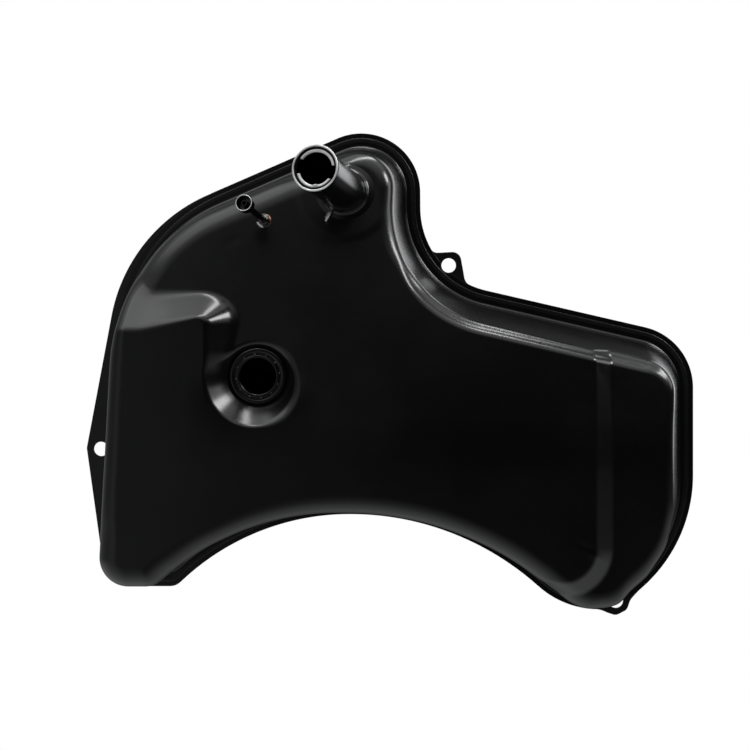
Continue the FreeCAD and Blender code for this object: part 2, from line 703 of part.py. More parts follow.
# ----------------------------------------------------- sender port and hose clip
def sender_ring():
    """Flat ring in the dish, with a circle of small round pips."""
    ring = body("sender_ring", Placement(PORT, facing(FRONTWARD)))
    sk = sketch(ring, "ring_section")
    circle(sk, "dims.port_ring_dia / 2")
    circle(sk, "dims.port_dia / 2")
    pad(ring, "ring_pad", sk, "dims.port_ring_gauge")
    sk = sketch(ring, "pip_section", lift="dims.port_ring_gauge")
    # the pip sits a hair off the X axis, so that its Y distance is not zero
    circle(sk, "dims.pip_dia / 2", "dims.pip_circle_dia / 2", "0.01")
    pip = pad(ring, "pip_pad", sk, "dims.pip_height")
    polar(ring, "pip_row", pip, "dims.pip_count")


CLIP_X, CLIP_Z = -117.5, 43.0
CLIP_DIRECTION = Vector(5.2, 0.0, 8.6)


def hose_clip():
    """Angle strip standing on the sloping face."""
    foot = Vector(CLIP_X, -roof(CLIP_Z), CLIP_Z)
    clip = body("hose_clip", Placement(foot, facing(FACE_NORMAL, CLIP_DIRECTION)))
    sk = sketch(clip, "clip_section", "XZ_Plane")
    outline(sk, [
        ("0", "0"),
        ("dims.clip_length", "0"),
        ("dims.clip_length", "dims.clip_stand"),
        ("dims.clip_length - dims.clip_gauge", "dims.clip_stand"),
        ("dims.clip_length - dims.clip_gauge", "dims.clip_gauge"),
        ("0", "dims.clip_gauge"),
    ])
    pad(clip, "clip_pad", sk, "dims.clip_width").Midplane = True


# ---------------------------------------------------------- bosses and strainer
def bush(name, centre):
    """Bush through the back floor, with its flange outside."""
    turned(name, Placement(centre, facing(BACKWARD)), [
        ("dims.bush_bore / 2", "dims.bush_flange_gauge - dims.bush_length"),
        ("dims.bush_dia / 2", "dims.bush_flange_gauge - dims.bush_length"),
        ("dims.bush_dia / 2", "dims.touch_gap"),
        ("dims.bush_flange_dia / 2", "dims.touch_gap"),
        ("dims.bush_flange_dia / 2", "dims.bush_flange_gauge"),
        ("dims.bush_bore / 2", "dims.bush_flange_gauge"),
    ])


def outlet_strainer():
    """Closed-ended sleeve on the outlet bush's inner end."""
    bush_end = dim("bush_flange_gauge") - dim("bush_length")
    foot = OUTLET + Vector(0, bush_end - dim("touch_gap"), 0)
    turned("outlet_strainer", Placement(foot, facing(FRONTWARD)), [
        ("dims.strainer_bore / 2", "0"),
        ("dims.strainer_dia / 2", "0"),
        ("dims.strainer_dia / 2", "dims.strainer_length"),
        ("0", "dims.strainer_length"),
        ("0", "dims.strainer_length - dims.strainer_end"),
        ("dims.strainer_bore / 2", "dims.strainer_length - dims.strainer_end"),
    ])


# ----------------------------------------------------------- anti-surge baffle
BAFFLE_X, BAFFLE_Z = -110.0, -218.0
BAFFLE_HOLES = 3


def anti_surge_baffle():
    """Upright angle plate on the back floor, with a column of holes."""
    foot = Vector(BAFFLE_X, BACK_DEPTH - GAUGE - dim("touch_gap"), BAFFLE_Z)
    baffle = body("anti_surge_baffle", Placement(foot, facing(Vector(0, 0, 1), FRONTWARD)))
    sk = sketch(baffle, "baffle_section")
    outline(sk, [
        ("0", "0"),
        ("dims.baffle_depth", "0"),
        ("dims.baffle_depth", "dims.baffle_gauge"),
        ("dims.baffle_gauge", "dims.baffle_gauge"),
        ("dims.baffle_gauge", "dims.baffle_foot"),
        ("0", "dims.baffle_foot"),
    ])
    pad(baffle, "baffle_pad", sk, "dims.baffle_tall")
    sk = sketch(baffle, "baffle_hole", "XZ_Plane")
    circle(sk, "dims.baffle_hole_dia / 2", "dims.baffle_depth / 2",
           "dims.baffle_hole_pitch / 2 + dims.baffle_hole_shift")
    hole_cut = pocket(baffle, "baffle_cut", sk, "20")
    column = baffle.newObject("PartDesign::LinearPattern", "baffle_row")
    column.Originals = [hole_cut]
    column.Direction = (origin_item(baffle, "Z_Axis"), [""])
    column.Occurrences = BAFFLE_HOLES
    column.setExpression("Length", "dims.baffle_hole_pitch * %d" % (BAFFLE_HOLES - 1))
    baffle.Tip = column
    doc.recompute()


# --------------------------------------------------------------- ear doublers
def ear_doublers():
    """Washers on the back of the flange, one round each ear hole."""
    washers = []
    for i, ear in enumerate(EARS):
        disc = doc.addObject("Part::Cylinder", "doubler_disc%d" % i)
        hole = doc.addObject("Part::Cylinder", "doubler_bore%d" % i)
        disc.setExpression("Radius", "dims.doubler_dia / 2")
        disc.setExpression("Height", "dims.doubler_gauge")
        hole.setExpression("Radius", "dims.ear_hole_dia / 2")
        hole.Height = 20.0
        foot = ear + Vector(0, GAUGE, 0)
        disc.Placement = Placement(foot, facing(BACKWARD))
        hole.Placement = Placement(foot + Vector(0, -5, 0), facing(BACKWARD))
        ring = doc.addObject("Part::Cut", "doubler_ring%d" % i)
        ring.Base = disc
        ring.Tool = hole
        washers.append(ring)
    group = doc.addObject("Part::Compound", "ear_doublers")
    group.Label = "ear_doublers"
    group.Links = washers
    doc.recompute()


# ------------------------------------------------------------------- the tank
front = front_shell()
back_shell()
seam_weld(front)
straight_tube("filler_neck", NECK_TIP, NECK_AXIS, "neck_length",
              "dims.neck_dia / 2", "dims.neck_dia / 2 - dims.neck_wall")
cone_ring("neck_collar", NECK_TIP, NECK_AXIS, "dims.collar_foot_dia / 2",
          "dims.collar_top_dia / 2", "dims.collar_height", "dims.collar_fit_dia / 2")
bayonet_mouth()
straight_tube("vent_pipe", VENT_TIP, VENT_AXIS, "vent_length",
              "dims.vent_dia / 2", "dims.vent_bore / 2")
vent_cup()
cone_ring("vent_boss", VENT_TIP, VENT_AXIS, "dims.boss_dia / 2",
          "dims.boss_dia / 2 - dims.boss_taper", "dims.boss_height", "dims.boss_fit_dia / 2")
vent_inner_tube()
sender_ring()
hose_clip()
bush("outlet_boss", OUTLET)
bush("drain_boss", DRAIN)
outlet_strainer()
anti_surge_baffle()
ear_doublers()

# ------------------------------------------------------------ check and export
NODES = ["front_shell", "back_shell", "seam_weld", "ear_doublers", "filler_neck", "neck_collar",
         "bayonet_mouth", "vent_pipe", "vent_cup", "vent_boss", "vent_inner_tube", "sender_ring",
         "hose_clip", "outlet_boss", "outlet_strainer", "drain_boss", "anti_surge_baffle"]
for obj in doc.Objects:
    if "Invalid" in obj.State or "Error" in obj.State:
        raise RuntimeError("%s failed: %s" % (obj.Name, obj.State))
os.makedirs("parts", exist_ok=True)
for name in NODES:
    shape = doc.getObjectsByLabel(name)[0].Shape
    if shape.isNull() or not shape.isValid() or shape.Volume <= 0.0:
        raise RuntimeError("%s has a bad shape" % name)
    shape.exportStep(os.path.join("parts", name + ".step"))
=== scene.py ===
# A tank of two pressed-steel halves welded round a flange, with a slanted filler neck, a vent pipe
# and a sender port on the front.
#
# Shapes are worked out in millimetres and scaled to metres when a mesh is made. x runs right and
# z up. The flange lies on the seam plane y = 0; the front half stands out towards -Y, the back
# half towards +Y. "h" is the distance out from the seam plane, on either side. Plan means (x, z).
import bmesh
import bpy
import math
import numpy as np
from dataclasses import dataclass
from typing import Callable
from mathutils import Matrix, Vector
from mathutils.geometry import delaunay_2d_cdt

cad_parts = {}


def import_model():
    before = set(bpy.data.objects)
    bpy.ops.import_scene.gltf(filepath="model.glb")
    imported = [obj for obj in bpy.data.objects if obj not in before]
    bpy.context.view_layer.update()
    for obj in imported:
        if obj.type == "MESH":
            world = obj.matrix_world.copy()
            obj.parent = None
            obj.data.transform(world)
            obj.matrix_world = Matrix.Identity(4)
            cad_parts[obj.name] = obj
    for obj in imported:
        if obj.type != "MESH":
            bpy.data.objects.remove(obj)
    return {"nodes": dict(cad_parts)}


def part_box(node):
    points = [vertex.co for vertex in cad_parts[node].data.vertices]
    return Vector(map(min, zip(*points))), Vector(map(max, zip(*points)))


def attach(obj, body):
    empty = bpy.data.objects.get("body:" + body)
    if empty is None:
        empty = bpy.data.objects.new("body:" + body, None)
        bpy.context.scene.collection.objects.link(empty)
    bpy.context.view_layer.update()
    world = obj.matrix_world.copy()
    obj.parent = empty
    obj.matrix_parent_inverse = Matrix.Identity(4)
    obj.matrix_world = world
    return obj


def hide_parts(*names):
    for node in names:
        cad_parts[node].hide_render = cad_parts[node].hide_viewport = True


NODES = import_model()["nodes"]
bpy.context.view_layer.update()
SCENE = bpy.context.scene
MM = 0.001


def unit(vector):
    return vector / np.linalg.norm(vector)


# =====================================================================
# Driving dimensions, mm
# =====================================================================
# Outlines in plan: x, z, corner radius (negative at an inside corner)
ROOT_CORNERS = [  # foot of the walls
    (-315.6, 22.3, 150.0), (-42.7, 140.9, 44.5), (-42.2, -21.5, -99.5), (229.8, -84.3, 47.5),
    (229.8, -273.3, 112.0), (140.0, -347.3, 56.0), (10.5, -236.1, -292.0),
    (-199.2, -236.1, -240.0), (-275.2, -306.1, 24.0), (-334.2, -306.1, 32.0)]
RIM_SHARED = [  # flange edge common to both halves
    (-29.2, 162.6, 59.0), (-27.7, -10.0, -85.0), (244.3, -72.8, 62.0), (244.3, -280.1, 150.0),
    (167.3, -343.6, 25.0), (116.7, -343.9, 90.0), (5.9, -248.6, -281.5),
    (-194.3, -248.6, -244.5), (-272.5, -320.6, 15.0)]
FRONT_RIM_CORNERS = [(-325.2, 33.9, 165.0)] + RIM_SHARED + [(-347.0, -320.6, 40.0)]
BACK_RIM_CORNERS = ([(-362.0, -182.6, 4.0), (-321.1, 35.7, 165.0)] + RIM_SHARED
                    + [(-342.7, -320.6, 40.0)])
TOP_EAR_CORNERS = [(-24.0, 12.0, 3.0), (11.1, 13.9, 9.0), (18.3, -26.6, 4.0),
                   (-8.7, -34.6, 4.0), (-33.7, -6.6, 4.0)]
LOW_EAR_CORNERS = [(145.3, -340.6, 3.0), (158.3, -347.2, 5.0), (167.3, -350.1, 7.0),
                   (178.3, -344.4, 6.0), (181.7, -334.6, 6.0), (194.3, -317.6, 4.0),
                   (161.3, -309.6, 4.0)]

# Mounting holes in plan
TOP_EAR = (0.0, 0.0)
LEFT_EAR = (-347.7, -183.6)
LOW_EAR = (167.3, -335.6)
EAR_HOLE_RADIUS = 7.25
EAR_NOTCH_RADIUS = 8.25    # clearance the front flange leaves round a hole

# Slanted tubes: tip (x, y, z) and outward direction
NECK_TIP = np.array([-120.7, -155.0, 83.9])
NECK_AXIS = unit(np.array([-0.2321, -0.9586, 0.1625]))
NECK_FOOT = NECK_TIP - NECK_AXIS * 91.5
VENT_TIP = np.array([-187.1, -137.0, 54.2])
VENT_AXIS = unit(np.array([-12.4, -75.0, 14.8]))
# Sender port on the front
PORT = np.array([-180.1, -89.0, -105.3])
PORT_AXIS = (0.0, -1.0, 0.0)
PORT_RADIUS = 25.0
# Openings in the back face, plan
OUTLET = (148.0, -292.0)
DRAIN = (-300.0, -272.0)
BACK_HOLE_RADIUS = 12.1

SHEET = 1.0                # sheet thickness
DEPTH = 112.0              # front face over the seam plane
BACK_DEPTH = 24.0
FACE_SLOPE = math.tan(math.radians(10.7))   # fall of the front face above SLOPE_Z
SLOPE_Z = -169.6
BACK_DRAFT = math.tan(math.radians(20.0))
BACK_RIM_RADIUS = 6.0


# =====================================================================
# Outlines and blending
# =====================================================================
class Outline:
    """A closed outline of lines and tangent arcs: exact signed distance and even sampling."""

    def __init__(self, corners):
        count = len(corners)
        points = np.array([corner[:2] for corner in corners], float)
        area = sum(points[i][0] * points[(i + 1) % count][1]
                   - points[(i + 1) % count][0] * points[i][1] for i in range(count))
        self.turn = 1.0 if area > 0 else -1.0
        self.arcs, self.starts, self.ends = [], [], []
        for i, here in enumerate(points):
            before, after = points[i - 1], points[(i + 1) % count]
            to_before, to_after = unit(before - here), unit(after - here)
            half = math.acos(np.clip(to_before @ to_after, -1, 1)) / 2
            radius = abs(corners[i][2])
            tangent = radius / math.tan(half)
            inward = unit(to_before + to_after)
            centre = here + inward * radius / math.sin(half)
            came, goes = here - before, after - here
            convex = (came[0] * goes[1] - came[1] * goes[0]) * self.turn > 0
            self.starts.append(here + to_before * tangent)
            self.ends.append(here + to_after * tangent)
            self.arcs.append((centre, radius, -inward, math.sin(half), convex))
        self.lines = [(self.ends[i], self.starts[(i + 1) % count]) for i in range(count)]

    def distance(self, x, z):
        """Signed distance, negative inside."""
        x = np.asarray(x, float)
        best = np.full(x.shape, 1e9)
        sign = np.ones(x.shape)
        for start, end in self.lines:
            along = end - start
            length = np.linalg.norm(along)
            along = along / length
            from_x, from_z = x - start[0], z - start[1]
            run = np.clip(from_x * along[0] + from_z * along[1], 0, length)
            gap = np.hypot(from_x - run * along[0], from_z - run * along[1])
            inner_side = (along[0] * from_z - along[1] * from_x) * self.turn > 0
            nearer = gap < best
            best = np.where(nearer, gap, best)
            sign = np.where(nearer, np.where(inner_side, -1.0, 1.0), sign)
        for centre, radius, outward, limit, convex in self.arcs:
            from_x, from_z = x - centre[0], z - centre[1]
            reach = np.hypot(from_x, from_z) + 1e-12
            in_sector = (from_x * outward[0] + from_z * outward[1]) / reach >= limit
            gap = np.abs(reach - radius)
            nearer = in_sector & (gap < best)
            best = np.where(nearer, gap, best)
            outside = reach > radius if convex else reach < radius
            sign = np.where(nearer, np.where(outside, 1.0, -1.0), sign)
        return best * sign

    def sample(self, step, offset=0.0):
        """Points and inward normals along the outline, moved inwards by offset."""
        points, normals = [], []
        for i, (centre, radius, _, _, convex) in enumerate(self.arcs):
            first, last = self.starts[i] - centre, self.ends[i] - centre
            angle = math.atan2(first[1], first[0])
            sweep = math.atan2(last[1], last[0]) - angle
            sweep = (sweep + math.pi) % (2 * math.pi) - math.pi
            pieces = max(3, int(math.ceil(abs(sweep) * max(radius, 6.0) / step)))
            for j in range(pieces):
                turned_to = angle + sweep * j / pieces
                ray = np.array([math.cos(turned_to), math.sin(turned_to)])
                normal = -ray if convex else ray
                points.append(centre + ray * radius + normal * offset)
                normals.append(normal)
            start, end = self.lines[i]
            length = np.linalg.norm(end - start)
            along = (end - start) / length
            normal = np.array([-along[1], along[0]]) * self.turn
            pieces = max(1, int(round(length / step)))
            for j in range(pieces):
                points.append(start + along * length * j / pieces + normal * offset)
                normals.append(normal)
        return np.array(points), np.array(normals)


ROOT = Outline(ROOT_CORNERS)
FRONT_RIM = Outline(FRONT_RIM_CORNERS)
BACK_RIM = Outline(BACK_RIM_CORNERS)
TOP_EAR_EDGE = Outline(TOP_EAR_CORNERS)
LOW_EAR_EDGE = Outline(LOW_EAR_CORNERS)


def smoothstep(value, low, high):
    t = np.clip((value - low) / (high - low), 0, 1)
    return t * t * (3 - 2 * t)


def ramp(value, soft):
    """max(value, 0) with the corner eased over +-soft."""
    return np.where(value <= -soft, 0.0,
                    np.where(value >= soft, value, (value + soft) ** 2 / (4 * soft)))


def blend_max(a, b, width):
    return np.maximum(a, b) + np.maximum(width - np.abs(a - b), 0) ** 2 / (4 * width)


def blend_min(a, b, width):
    return np.minimum(a, b) - np.maximum(width - np.abs(a - b), 0) ** 2 / (4 * width)


def rounded_corner(past_a, past_b, radius):
    """Signed distance to a rounded corner, from the distances past its two edges."""
    a, b = past_a + radius, past_b + radius
    return (np.hypot(np.maximum(a, 0), np.maximum(b, 0))
            + np.minimum(np.maximum(a, b), 0) - radius)


def turned(x, z, centre_x, centre_z, angle):
    """Coordinates about a centre, along axes turned by angle."""
    cos, sin = math.cos(angle), math.sin(angle)
    return ((x - centre_x) * cos + (z - centre_z) * sin,
            -(x - centre_x) * sin + (z - centre_z) * cos)


def plan_gradient(field, x, z, step):
    return ((field(x + step, z) - field(x - step, z)) / (2 * step),
            (field(x, z + step) - field(x, z - step)) / (2 * step))


def field_normals(field, points, step=0.25):
    x, h, z = points.T
    slope = np.stack([field(x + step, h, z) - field(x - step, h, z),
                      field(x, h + step, z) - field(x, h - step, z),
                      field(x, h, z + step) - field(x, h, z - step)], -1) / (2 * step)
    return slope / np.maximum(np.linalg.norm(slope, axis=-1, keepdims=True), 1e-9)


def bisect(field, inside, outside, steps=26):
    """Vectorised root of field between inside (negative) and outside."""
    inside, outside = np.array(inside, float), np.array(outside, float)
    for _ in range(steps):
        middle = 0.5 * (inside + outside)
        negative = field(middle) < 0
        inside = np.where(negative, middle, inside)
        outside = np.where(negative, outside, middle)
    return 0.5 * (inside + outside)


# =====================================================================
# Skin of the front half
# =====================================================================
# Stations round the wall: x, z, draft (degrees), rim radius
WALL_STATIONS = np.array([
    (-330, -110, 3.0, 13), (-333, -200, 3.0, 14), (-332, -290, 3.0, 17), (-305, -306, 2.5, 20),
    (-270, -300, 2.5, 20), (-325, -30, 5.0, 9), (-305, 20, 6.5, 7.5), (-250, 52, 6.5, 7.5),
    (-190, 78, 6.5, 7.5), (-130, 104, 8.0, 10), (-85, 122, 10.0, 13), (-50, 110, 11.0, 13),
    (-42, 70, 11.0, 13), (-41, 30, 11.0, 12), (-32, -5, 11.5, 8), (-5, -28, 12.0, 6.5),
    (40, -42, 12.0, 6), (100, -55, 12.0, 6), (150, -66, 12.0, 6), (195, -76, 12.0, 7),
    (225, -105, 12.0, 8), (230, -170, 12.5, 8.5), (230, -240, 12.5, 8.5), (215, -285, 10.0, 11),
    (185, -315, 8.0, 15), (150, -330, 4.0, 17), (120, -322, 2.5, 18), (80, -290, 2.0, 18),
    (20, -250, 2.0, 18), (-60, -236, 2.0, 18), (-140, -236, 2.0, 18), (-200, -250, 2.0, 18),
    (-240, -278, 2.2, 19)], float)
STATION_SOFTNESS = 60.0    # mm2, keeps a station's weight finite at its own place

# Faint dents and swellings: centre x, centre z, reach along, reach across, turn (rad), height
WRINKLES = [
    (150.0, -95.0, 3.2, 12.0, 0.12, 0.30), (142.0, -102.0, 2.6, 9.0, 0.25, -0.28),
    (133.0, -270.0, 9.0, 3.2, -0.55, 0.35), (124.0, -262.0, 8.0, 2.8, -0.6, -0.25),
    (140.5, -163.0, 1.6, 1.9, 0.0, -0.30), (170.5, -227.0, 1.7, 1.7, 0.0, -0.28),
    (-205.0, 22.0, 7.0, 4.0, 0.3, -0.12), (-60.0, -120.0, 90.0, 30.0, 0.2, 0.35),
    (60.0, -180.0, 60.0, 50.0, -0.2, -0.30), (-290.0, -200.0, 40.0, 60.0, 0.1, -0.25)]


def wall_shape(x, z):
    """Draft tangent and rim radius at a plan position, weighted from the stations."""
    x = np.asarray(x, float)
    weights, draft, radius = np.zeros(x.shape), np.zeros(x.shape), np.zeros(x.shape)
    for at_x, at_z, degrees, rim_radius in WALL_STATIONS:
        weight = 1.0 / (((x - at_x) ** 2 + (z - at_z) ** 2 + STATION_SOFTNESS) ** 2)
        weights += weight
        draft += weight * math.tan(math.radians(degrees))
        radius += weight * rim_radius
    return draft / weights, radius / weights


def port_distance(x, z):
    return np.hypot(x - PORT[0], z - PORT[2])


def terrace_drop(x, z):
    """The face steps down at the right and foot, over a sloping band with a rounded turn."""
    edge_x, edge_z, turn_radius = 143.6, -304.0, 40.0
    half_band, drop, soft = 8.4, 13.0, 2.6
    past = rounded_corner(x - edge_x, edge_z - z, turn_radius)
    return (ramp(past + half_band, soft) - ramp(past - half_band, soft)) * (drop / (2 * half_band))


def shelf_drop(x, z, inset):
    """Narrow shelf along the stepped upper edge, with a low second wall behind it."""
    drop, riser = 5.6, 5.2
    slant = z + 0.25 * x
    extent = 1 - smoothstep(slant, -34.0, 2.0)
    extent = extent * (1 - smoothstep(x, 176.0, 214.0)) * smoothstep(x, -62.0, -36.0)
    extent = extent * smoothstep(z, -190.0, -150.0)
    top = 20.0 + 6.0 * (1 - smoothstep(slant, -52.0, 2.0))
    climbed = (ramp(inset - top + riser, 1.6) - ramp(inset - top, 2.5)) / riser
    return drop * extent * (1 - climbed)


def edge_roll(x, z, inset):
    """The face rolls over gently towards the upper left edge."""
    extent = (1 - smoothstep(x, -128.0, -88.0)) * smoothstep(z, -48.0, -12.0)
    start = 29.5 + 11.0 * (1 - smoothstep(x, -318.0, -262.0))
    radius = (start - 9.5) / 0.62
    reach = np.clip(start - inset, 0.0, start - 7.5)
    return extent * (radius - np.sqrt(radius * radius - reach * reach))


def left_block(x, z):
    """Block on the left that keeps the full depth, with steep flanks."""
    jog = ramp(x + 289.0, 6.0) - ramp(x + 234.0, 6.0)
    past_top = (z + 61.0 - 0.22 * jog) / (25.5 - 9.0 * jog / 55.0)
    past_right = (x + 224.5) / 23.0
    return DEPTH - 21.4 * ramp(rounded_corner(past_top, past_right, 0.5), 0.17)


def dished(height, x, z):
    """Sinks the dish round the sender port into a face height."""
    reach = port_distance(x, z)
    dish = -PORT[1] + 1.26 * ramp(reach - 27.2, 1.5) - 0.20 * ramp(reach - 35.0, 6.0)
    width = 1.8 + 3.0 * smoothstep(x, -178.0, -150.0) + 2.2 * smoothstep(z, -100.0, -80.0)
    return blend_min(height, dish, width)


def plain_roof(x, z):
    """Height of the front face, before the walls cut it and without wrinkles."""
    x = np.asarray(x, float)
    inset = -ROOT.distance(x, z)
    height = DEPTH - FACE_SLOPE * ramp(z - SLOPE_Z, 26.0)
    height = height - terrace_drop(x, z)
    height = height - shelf_drop(x, z, inset)
    height = height - edge_roll(x, z, inset)
    # faint raised pad round the neck
    from_neck = np.hypot(x - NECK_FOOT[0], z - NECK_FOOT[2])
    height = height + 0.4 * (1 - smoothstep(from_neck, 40.0, 50.0))
    # upper part carries the block; the lower left is filled out to the full depth
    upper = smoothstep(z, -130.0, -98.0)
    filled = height + (DEPTH - height) * (1 - smoothstep(x, -245.0, -115.0))
    with_block = np.minimum(blend_max(height, left_block(x, z), 4.5), DEPTH + 0.4)
    height = upper * with_block + (1 - upper) * np.maximum(filled, height)
    return dished(height, x, z)


def front_roof(x, z):
    height = plain_roof(x, z)
    for at_x, at_z, reach_along, reach_across, turn, rise in WRINKLES:
        along, across = turned(x, z, at_x, at_z, turn)
        height = height + rise * np.exp(-(along / reach_along) ** 2 - (across / reach_across) ** 2)
    return height


def drafted_wall(x, h, z, draft):
    """Signed distance to a wall that leans in from the root outline."""
    return (ROOT.distance(x, z) + h * draft) / np.sqrt(1 + draft * draft)


def rounded_skin(wall, roof, radius, x, h, z):
    """Signed field inside both the wall and the roof, with a rounded rim between them."""
    slope_x, slope_z = plan_gradient(roof, x, z, 0.4)
    face = (h - roof(x, z)) / np.sqrt(1 + slope_x * slope_x + slope_z * slope_z)
    past_wall, past_face = np.maximum(wall + radius, 0), np.maximum(face + radius, 0)
    return np.minimum(-radius, np.maximum(wall, face)) + np.hypot(past_wall, past_face)


def front_wall(x, h, z):
    return drafted_wall(x, h, z, wall_shape(x, z)[0])


def front_skin(x, h, z, roof=front_roof):
    draft, radius = wall_shape(x, z)
    return rounded_skin(drafted_wall(x, h, z, draft), roof, radius, x, h, z)


# =====================================================================
# Skin of the back half: a shallow tray with raised beads
# =====================================================================
# Beads: centre x, centre z, half length, turn (degrees)
BEADS = [(-215.0, -120.0, 62.0, 0.0), (-150.0, -30.0, 70.0, 25.0), (60.0, -150.0, 95.0, -6.0)]
BEAD_HEIGHT = 2.9
BEAD_FLAT, BEAD_FOOT = 3.2, 10.5    # flank starts and ends this far from the centre line


def bead_distances(x, z):
    for at_x, at_z, half_length, degrees in BEADS:
        along, across = turned(x, z, at_x, at_z, math.radians(degrees))
        yield np.hypot(np.maximum(np.abs(along) - half_length, 0), across)


def back_roof(x, z):
    x = np.asarray(x, float)
    height = np.full(x.shape, BACK_DEPTH)
    for gap in bead_distances(x, z):
        height = height + BEAD_HEIGHT * (1 - smoothstep(gap, BEAD_FLAT, BEAD_FOOT))
    return height


def back_wall(x, h, z):
    return drafted_wall(x, h, z, BACK_DRAFT)


def back_skin(x, h, z):
    return rounded_skin(back_wall(x, h, z), back_roof, BACK_RIM_RADIUS, x, h, z)


# =====================================================================
# Mesh helpers
# =====================================================================
def make_object(name, points, faces, normals=None, sharp=(), smooth=True):
    """Points in mm (x, y, z); normals per vertex; sharp: faces shaded with their own normal."""
    mesh = bpy.data.meshes.new(name)
    mesh.from_pydata((np.asarray(points, float) * MM).tolist(), [],
                     [list(map(int, face)) for face in faces])
    mesh.update()
    ob = bpy.data.objects.new(name, mesh)
    SCENE.collection.objects.link(ob)
    face_count = len(mesh.polygons)
    if smooth:
        mesh.polygons.foreach_set("use_smooth", [True] * face_count)
    if normals is not None:
        corner_vertices = np.zeros(len(mesh.loops), int)
        mesh.loops.foreach_get("vertex_index", corner_vertices)
        corner_normals = np.asarray(normals, float)[corner_vertices]
        face_normals = np.zeros(face_count * 3)
        mesh.polygons.foreach_get("normal", face_normals)
        face_normals = face_normals.reshape(-1, 3)
        starts = np.zeros(face_count, int)
        totals = np.zeros(face_count, int)
        mesh.polygons.foreach_get("loop_start", starts)
        mesh.polygons.foreach_get("loop_total", totals)
        for face in sharp:
            corner_normals[starts[face]:starts[face] + totals[face]] = face_normals[face]
        mesh.normals_split_custom_set(corner_normals.tolist())
    mesh.update()
    return ob


def fix_normals(ob):
    bm = bmesh.new()
    bm.from_mesh(ob.data)
    bmesh.ops.recalc_face_normals(bm, faces=bm.faces)
    if bm.calc_volume(signed=True) < 0:
        bmesh.ops.reverse_faces(bm, faces=bm.faces)
    bm.to_mesh(ob.data)
    bm.free()
    ob.data.polygons.foreach_set("use_smooth", [True] * len(ob.data.polygons))


def split_shading(ob, degrees):
    """Marks edges sharper than the angle so the shading breaks there."""
    bm = bmesh.new()
    bm.from_mesh(ob.data)
    limit = math.radians(degrees)
    for edge in bm.edges:
        edge.smooth = not (len(edge.link_faces) == 2 and edge.calc_face_angle(0) > limit)
    bm.to_mesh(ob.data)
    bm.free()


def ring_quads(index):
    """Quads between successive rows of vertex numbers; every row is a closed ring."""
    beside = np.roll(index, -1, 1)
    return np.stack([index[:-1], beside[:-1], beside[1:], index[1:]], -1).reshape(-1, 4)


def torus_quads(rows, columns):
    """Quads of a grid of vertices closed both ways."""
    index = np.arange(rows * columns).reshape(rows, columns)
    return ring_quads(np.vstack([index, index[:1]]))


def turn_outward(faces, points, outward):
    """Reverses, in place, the faces that look against the outward directions."""
    a, b, c = (points[faces[:, k]] for k in range(3))
    inward = (np.cross(b - a, c - a) * outward).sum(1) < 0
    faces[inward] = faces[inward][:, ::-1]
    return faces


def in_polygon(x, z, polygon):
    """Even-odd test, vectorised over points."""
    inside = np.zeros(len(x), bool)
    for (x0, z0), (x1, z1) in zip(polygon, np.roll(polygon, -1, 0)):
        if z0 == z1:
            continue
        inside ^= ((z0 > z) != (z1 > z)) & (x < (x1 - x0) * (z - z0) / (z1 - z0) + x0)
    return inside


def in_region(plan, loops):
    """Inside the first loop and outside the others."""
    inside = in_polygon(plan[:, 0], plan[:, 1], loops[0])
    for hole in loops[1:]:
        inside &= ~in_polygon(plan[:, 0], plan[:, 1], hole)
    return inside


def polygon_distance(x, z, polygon):
    best = np.full(len(x), 1e9)
    for start, end in zip(polygon, np.roll(polygon, -1, 0)):
        along = end - start
        from_x, from_z = x - start[0], z - start[1]
        run = np.clip((from_x * along[0] + from_z * along[1]) / max(along @ along, 1e-12), 0, 1)
        best = np.minimum(best, np.hypot(from_x - run * along[0], from_z - run * along[1]))
    return best


def triangulate(loops, extra, clearance):
    """Constrained triangulation of a plan region: first loop outer, the rest holes. Extra points
    closer than clearance to a loop are left out. Returns points (loops first, in order) and
    triangles."""
    edges = []
    base = 0
    for loop in loops:
        count = len(loop)
        edges += [(base + i, base + (i + 1) % count) for i in range(count)]
        base += count
    extra = extra[in_region(extra, loops)]
    gap = np.full(len(extra), 1e9)
    for loop in loops:
        gap = np.minimum(gap, polygon_distance(extra[:, 0], extra[:, 1], loop))
    given = np.vstack(loops + [extra[gap > clearance]])
    result = delaunay_2d_cdt([Vector((float(x), float(z))) for x, z in given],
                             edges, [], 0, 1e-7)
    made = np.array([(v.x, v.y) for v in result[0]])
    triangles = np.array([face for face in result[2] if len(face) == 3], int)
    triangles = triangles[in_region(made[triangles].mean(1), loops)]
    # put the vertices back in the order they were given
    made_of_given = np.full(len(given), -1)
    for i, sources in enumerate(result[3]):
        if len(sources) and sources[0] >= 0:
            made_of_given[sources[0]] = i
    # a merged point takes its nearest neighbour
    for i in np.where(made_of_given < 0)[0]:
        gap = np.hypot(made[:, 0] - given[i, 0], made[:, 1] - given[i, 1])
        made_of_given[i] = int(np.argmin(gap))
    given_of_made = {int(v): k for k, v in reversed(list(enumerate(made_of_given)))}
    plan = [tuple(point) for point in given]
    for i in range(len(made)):
        if i not in given_of_made:
            given_of_made[i] = len(plan)
            plan.append(tuple(made[i]))
    triangles = np.array([[given_of_made[int(i)] for i in t] for t in triangles], int)
    # same winding everywhere, no slivers
    plan = np.array(plan)
    a, b, c = (plan[triangles[:, k]] for k in range(3))
    area = (b[:, 0] - a[:, 0]) * (c[:, 1] - a[:, 1]) - (b[:, 1] - a[:, 1]) * (c[:, 0] - a[:, 0])
    triangles[area < 0] = triangles[area < 0][:, ::-1]
    return plan, triangles[np.abs(area) > 1e-7]


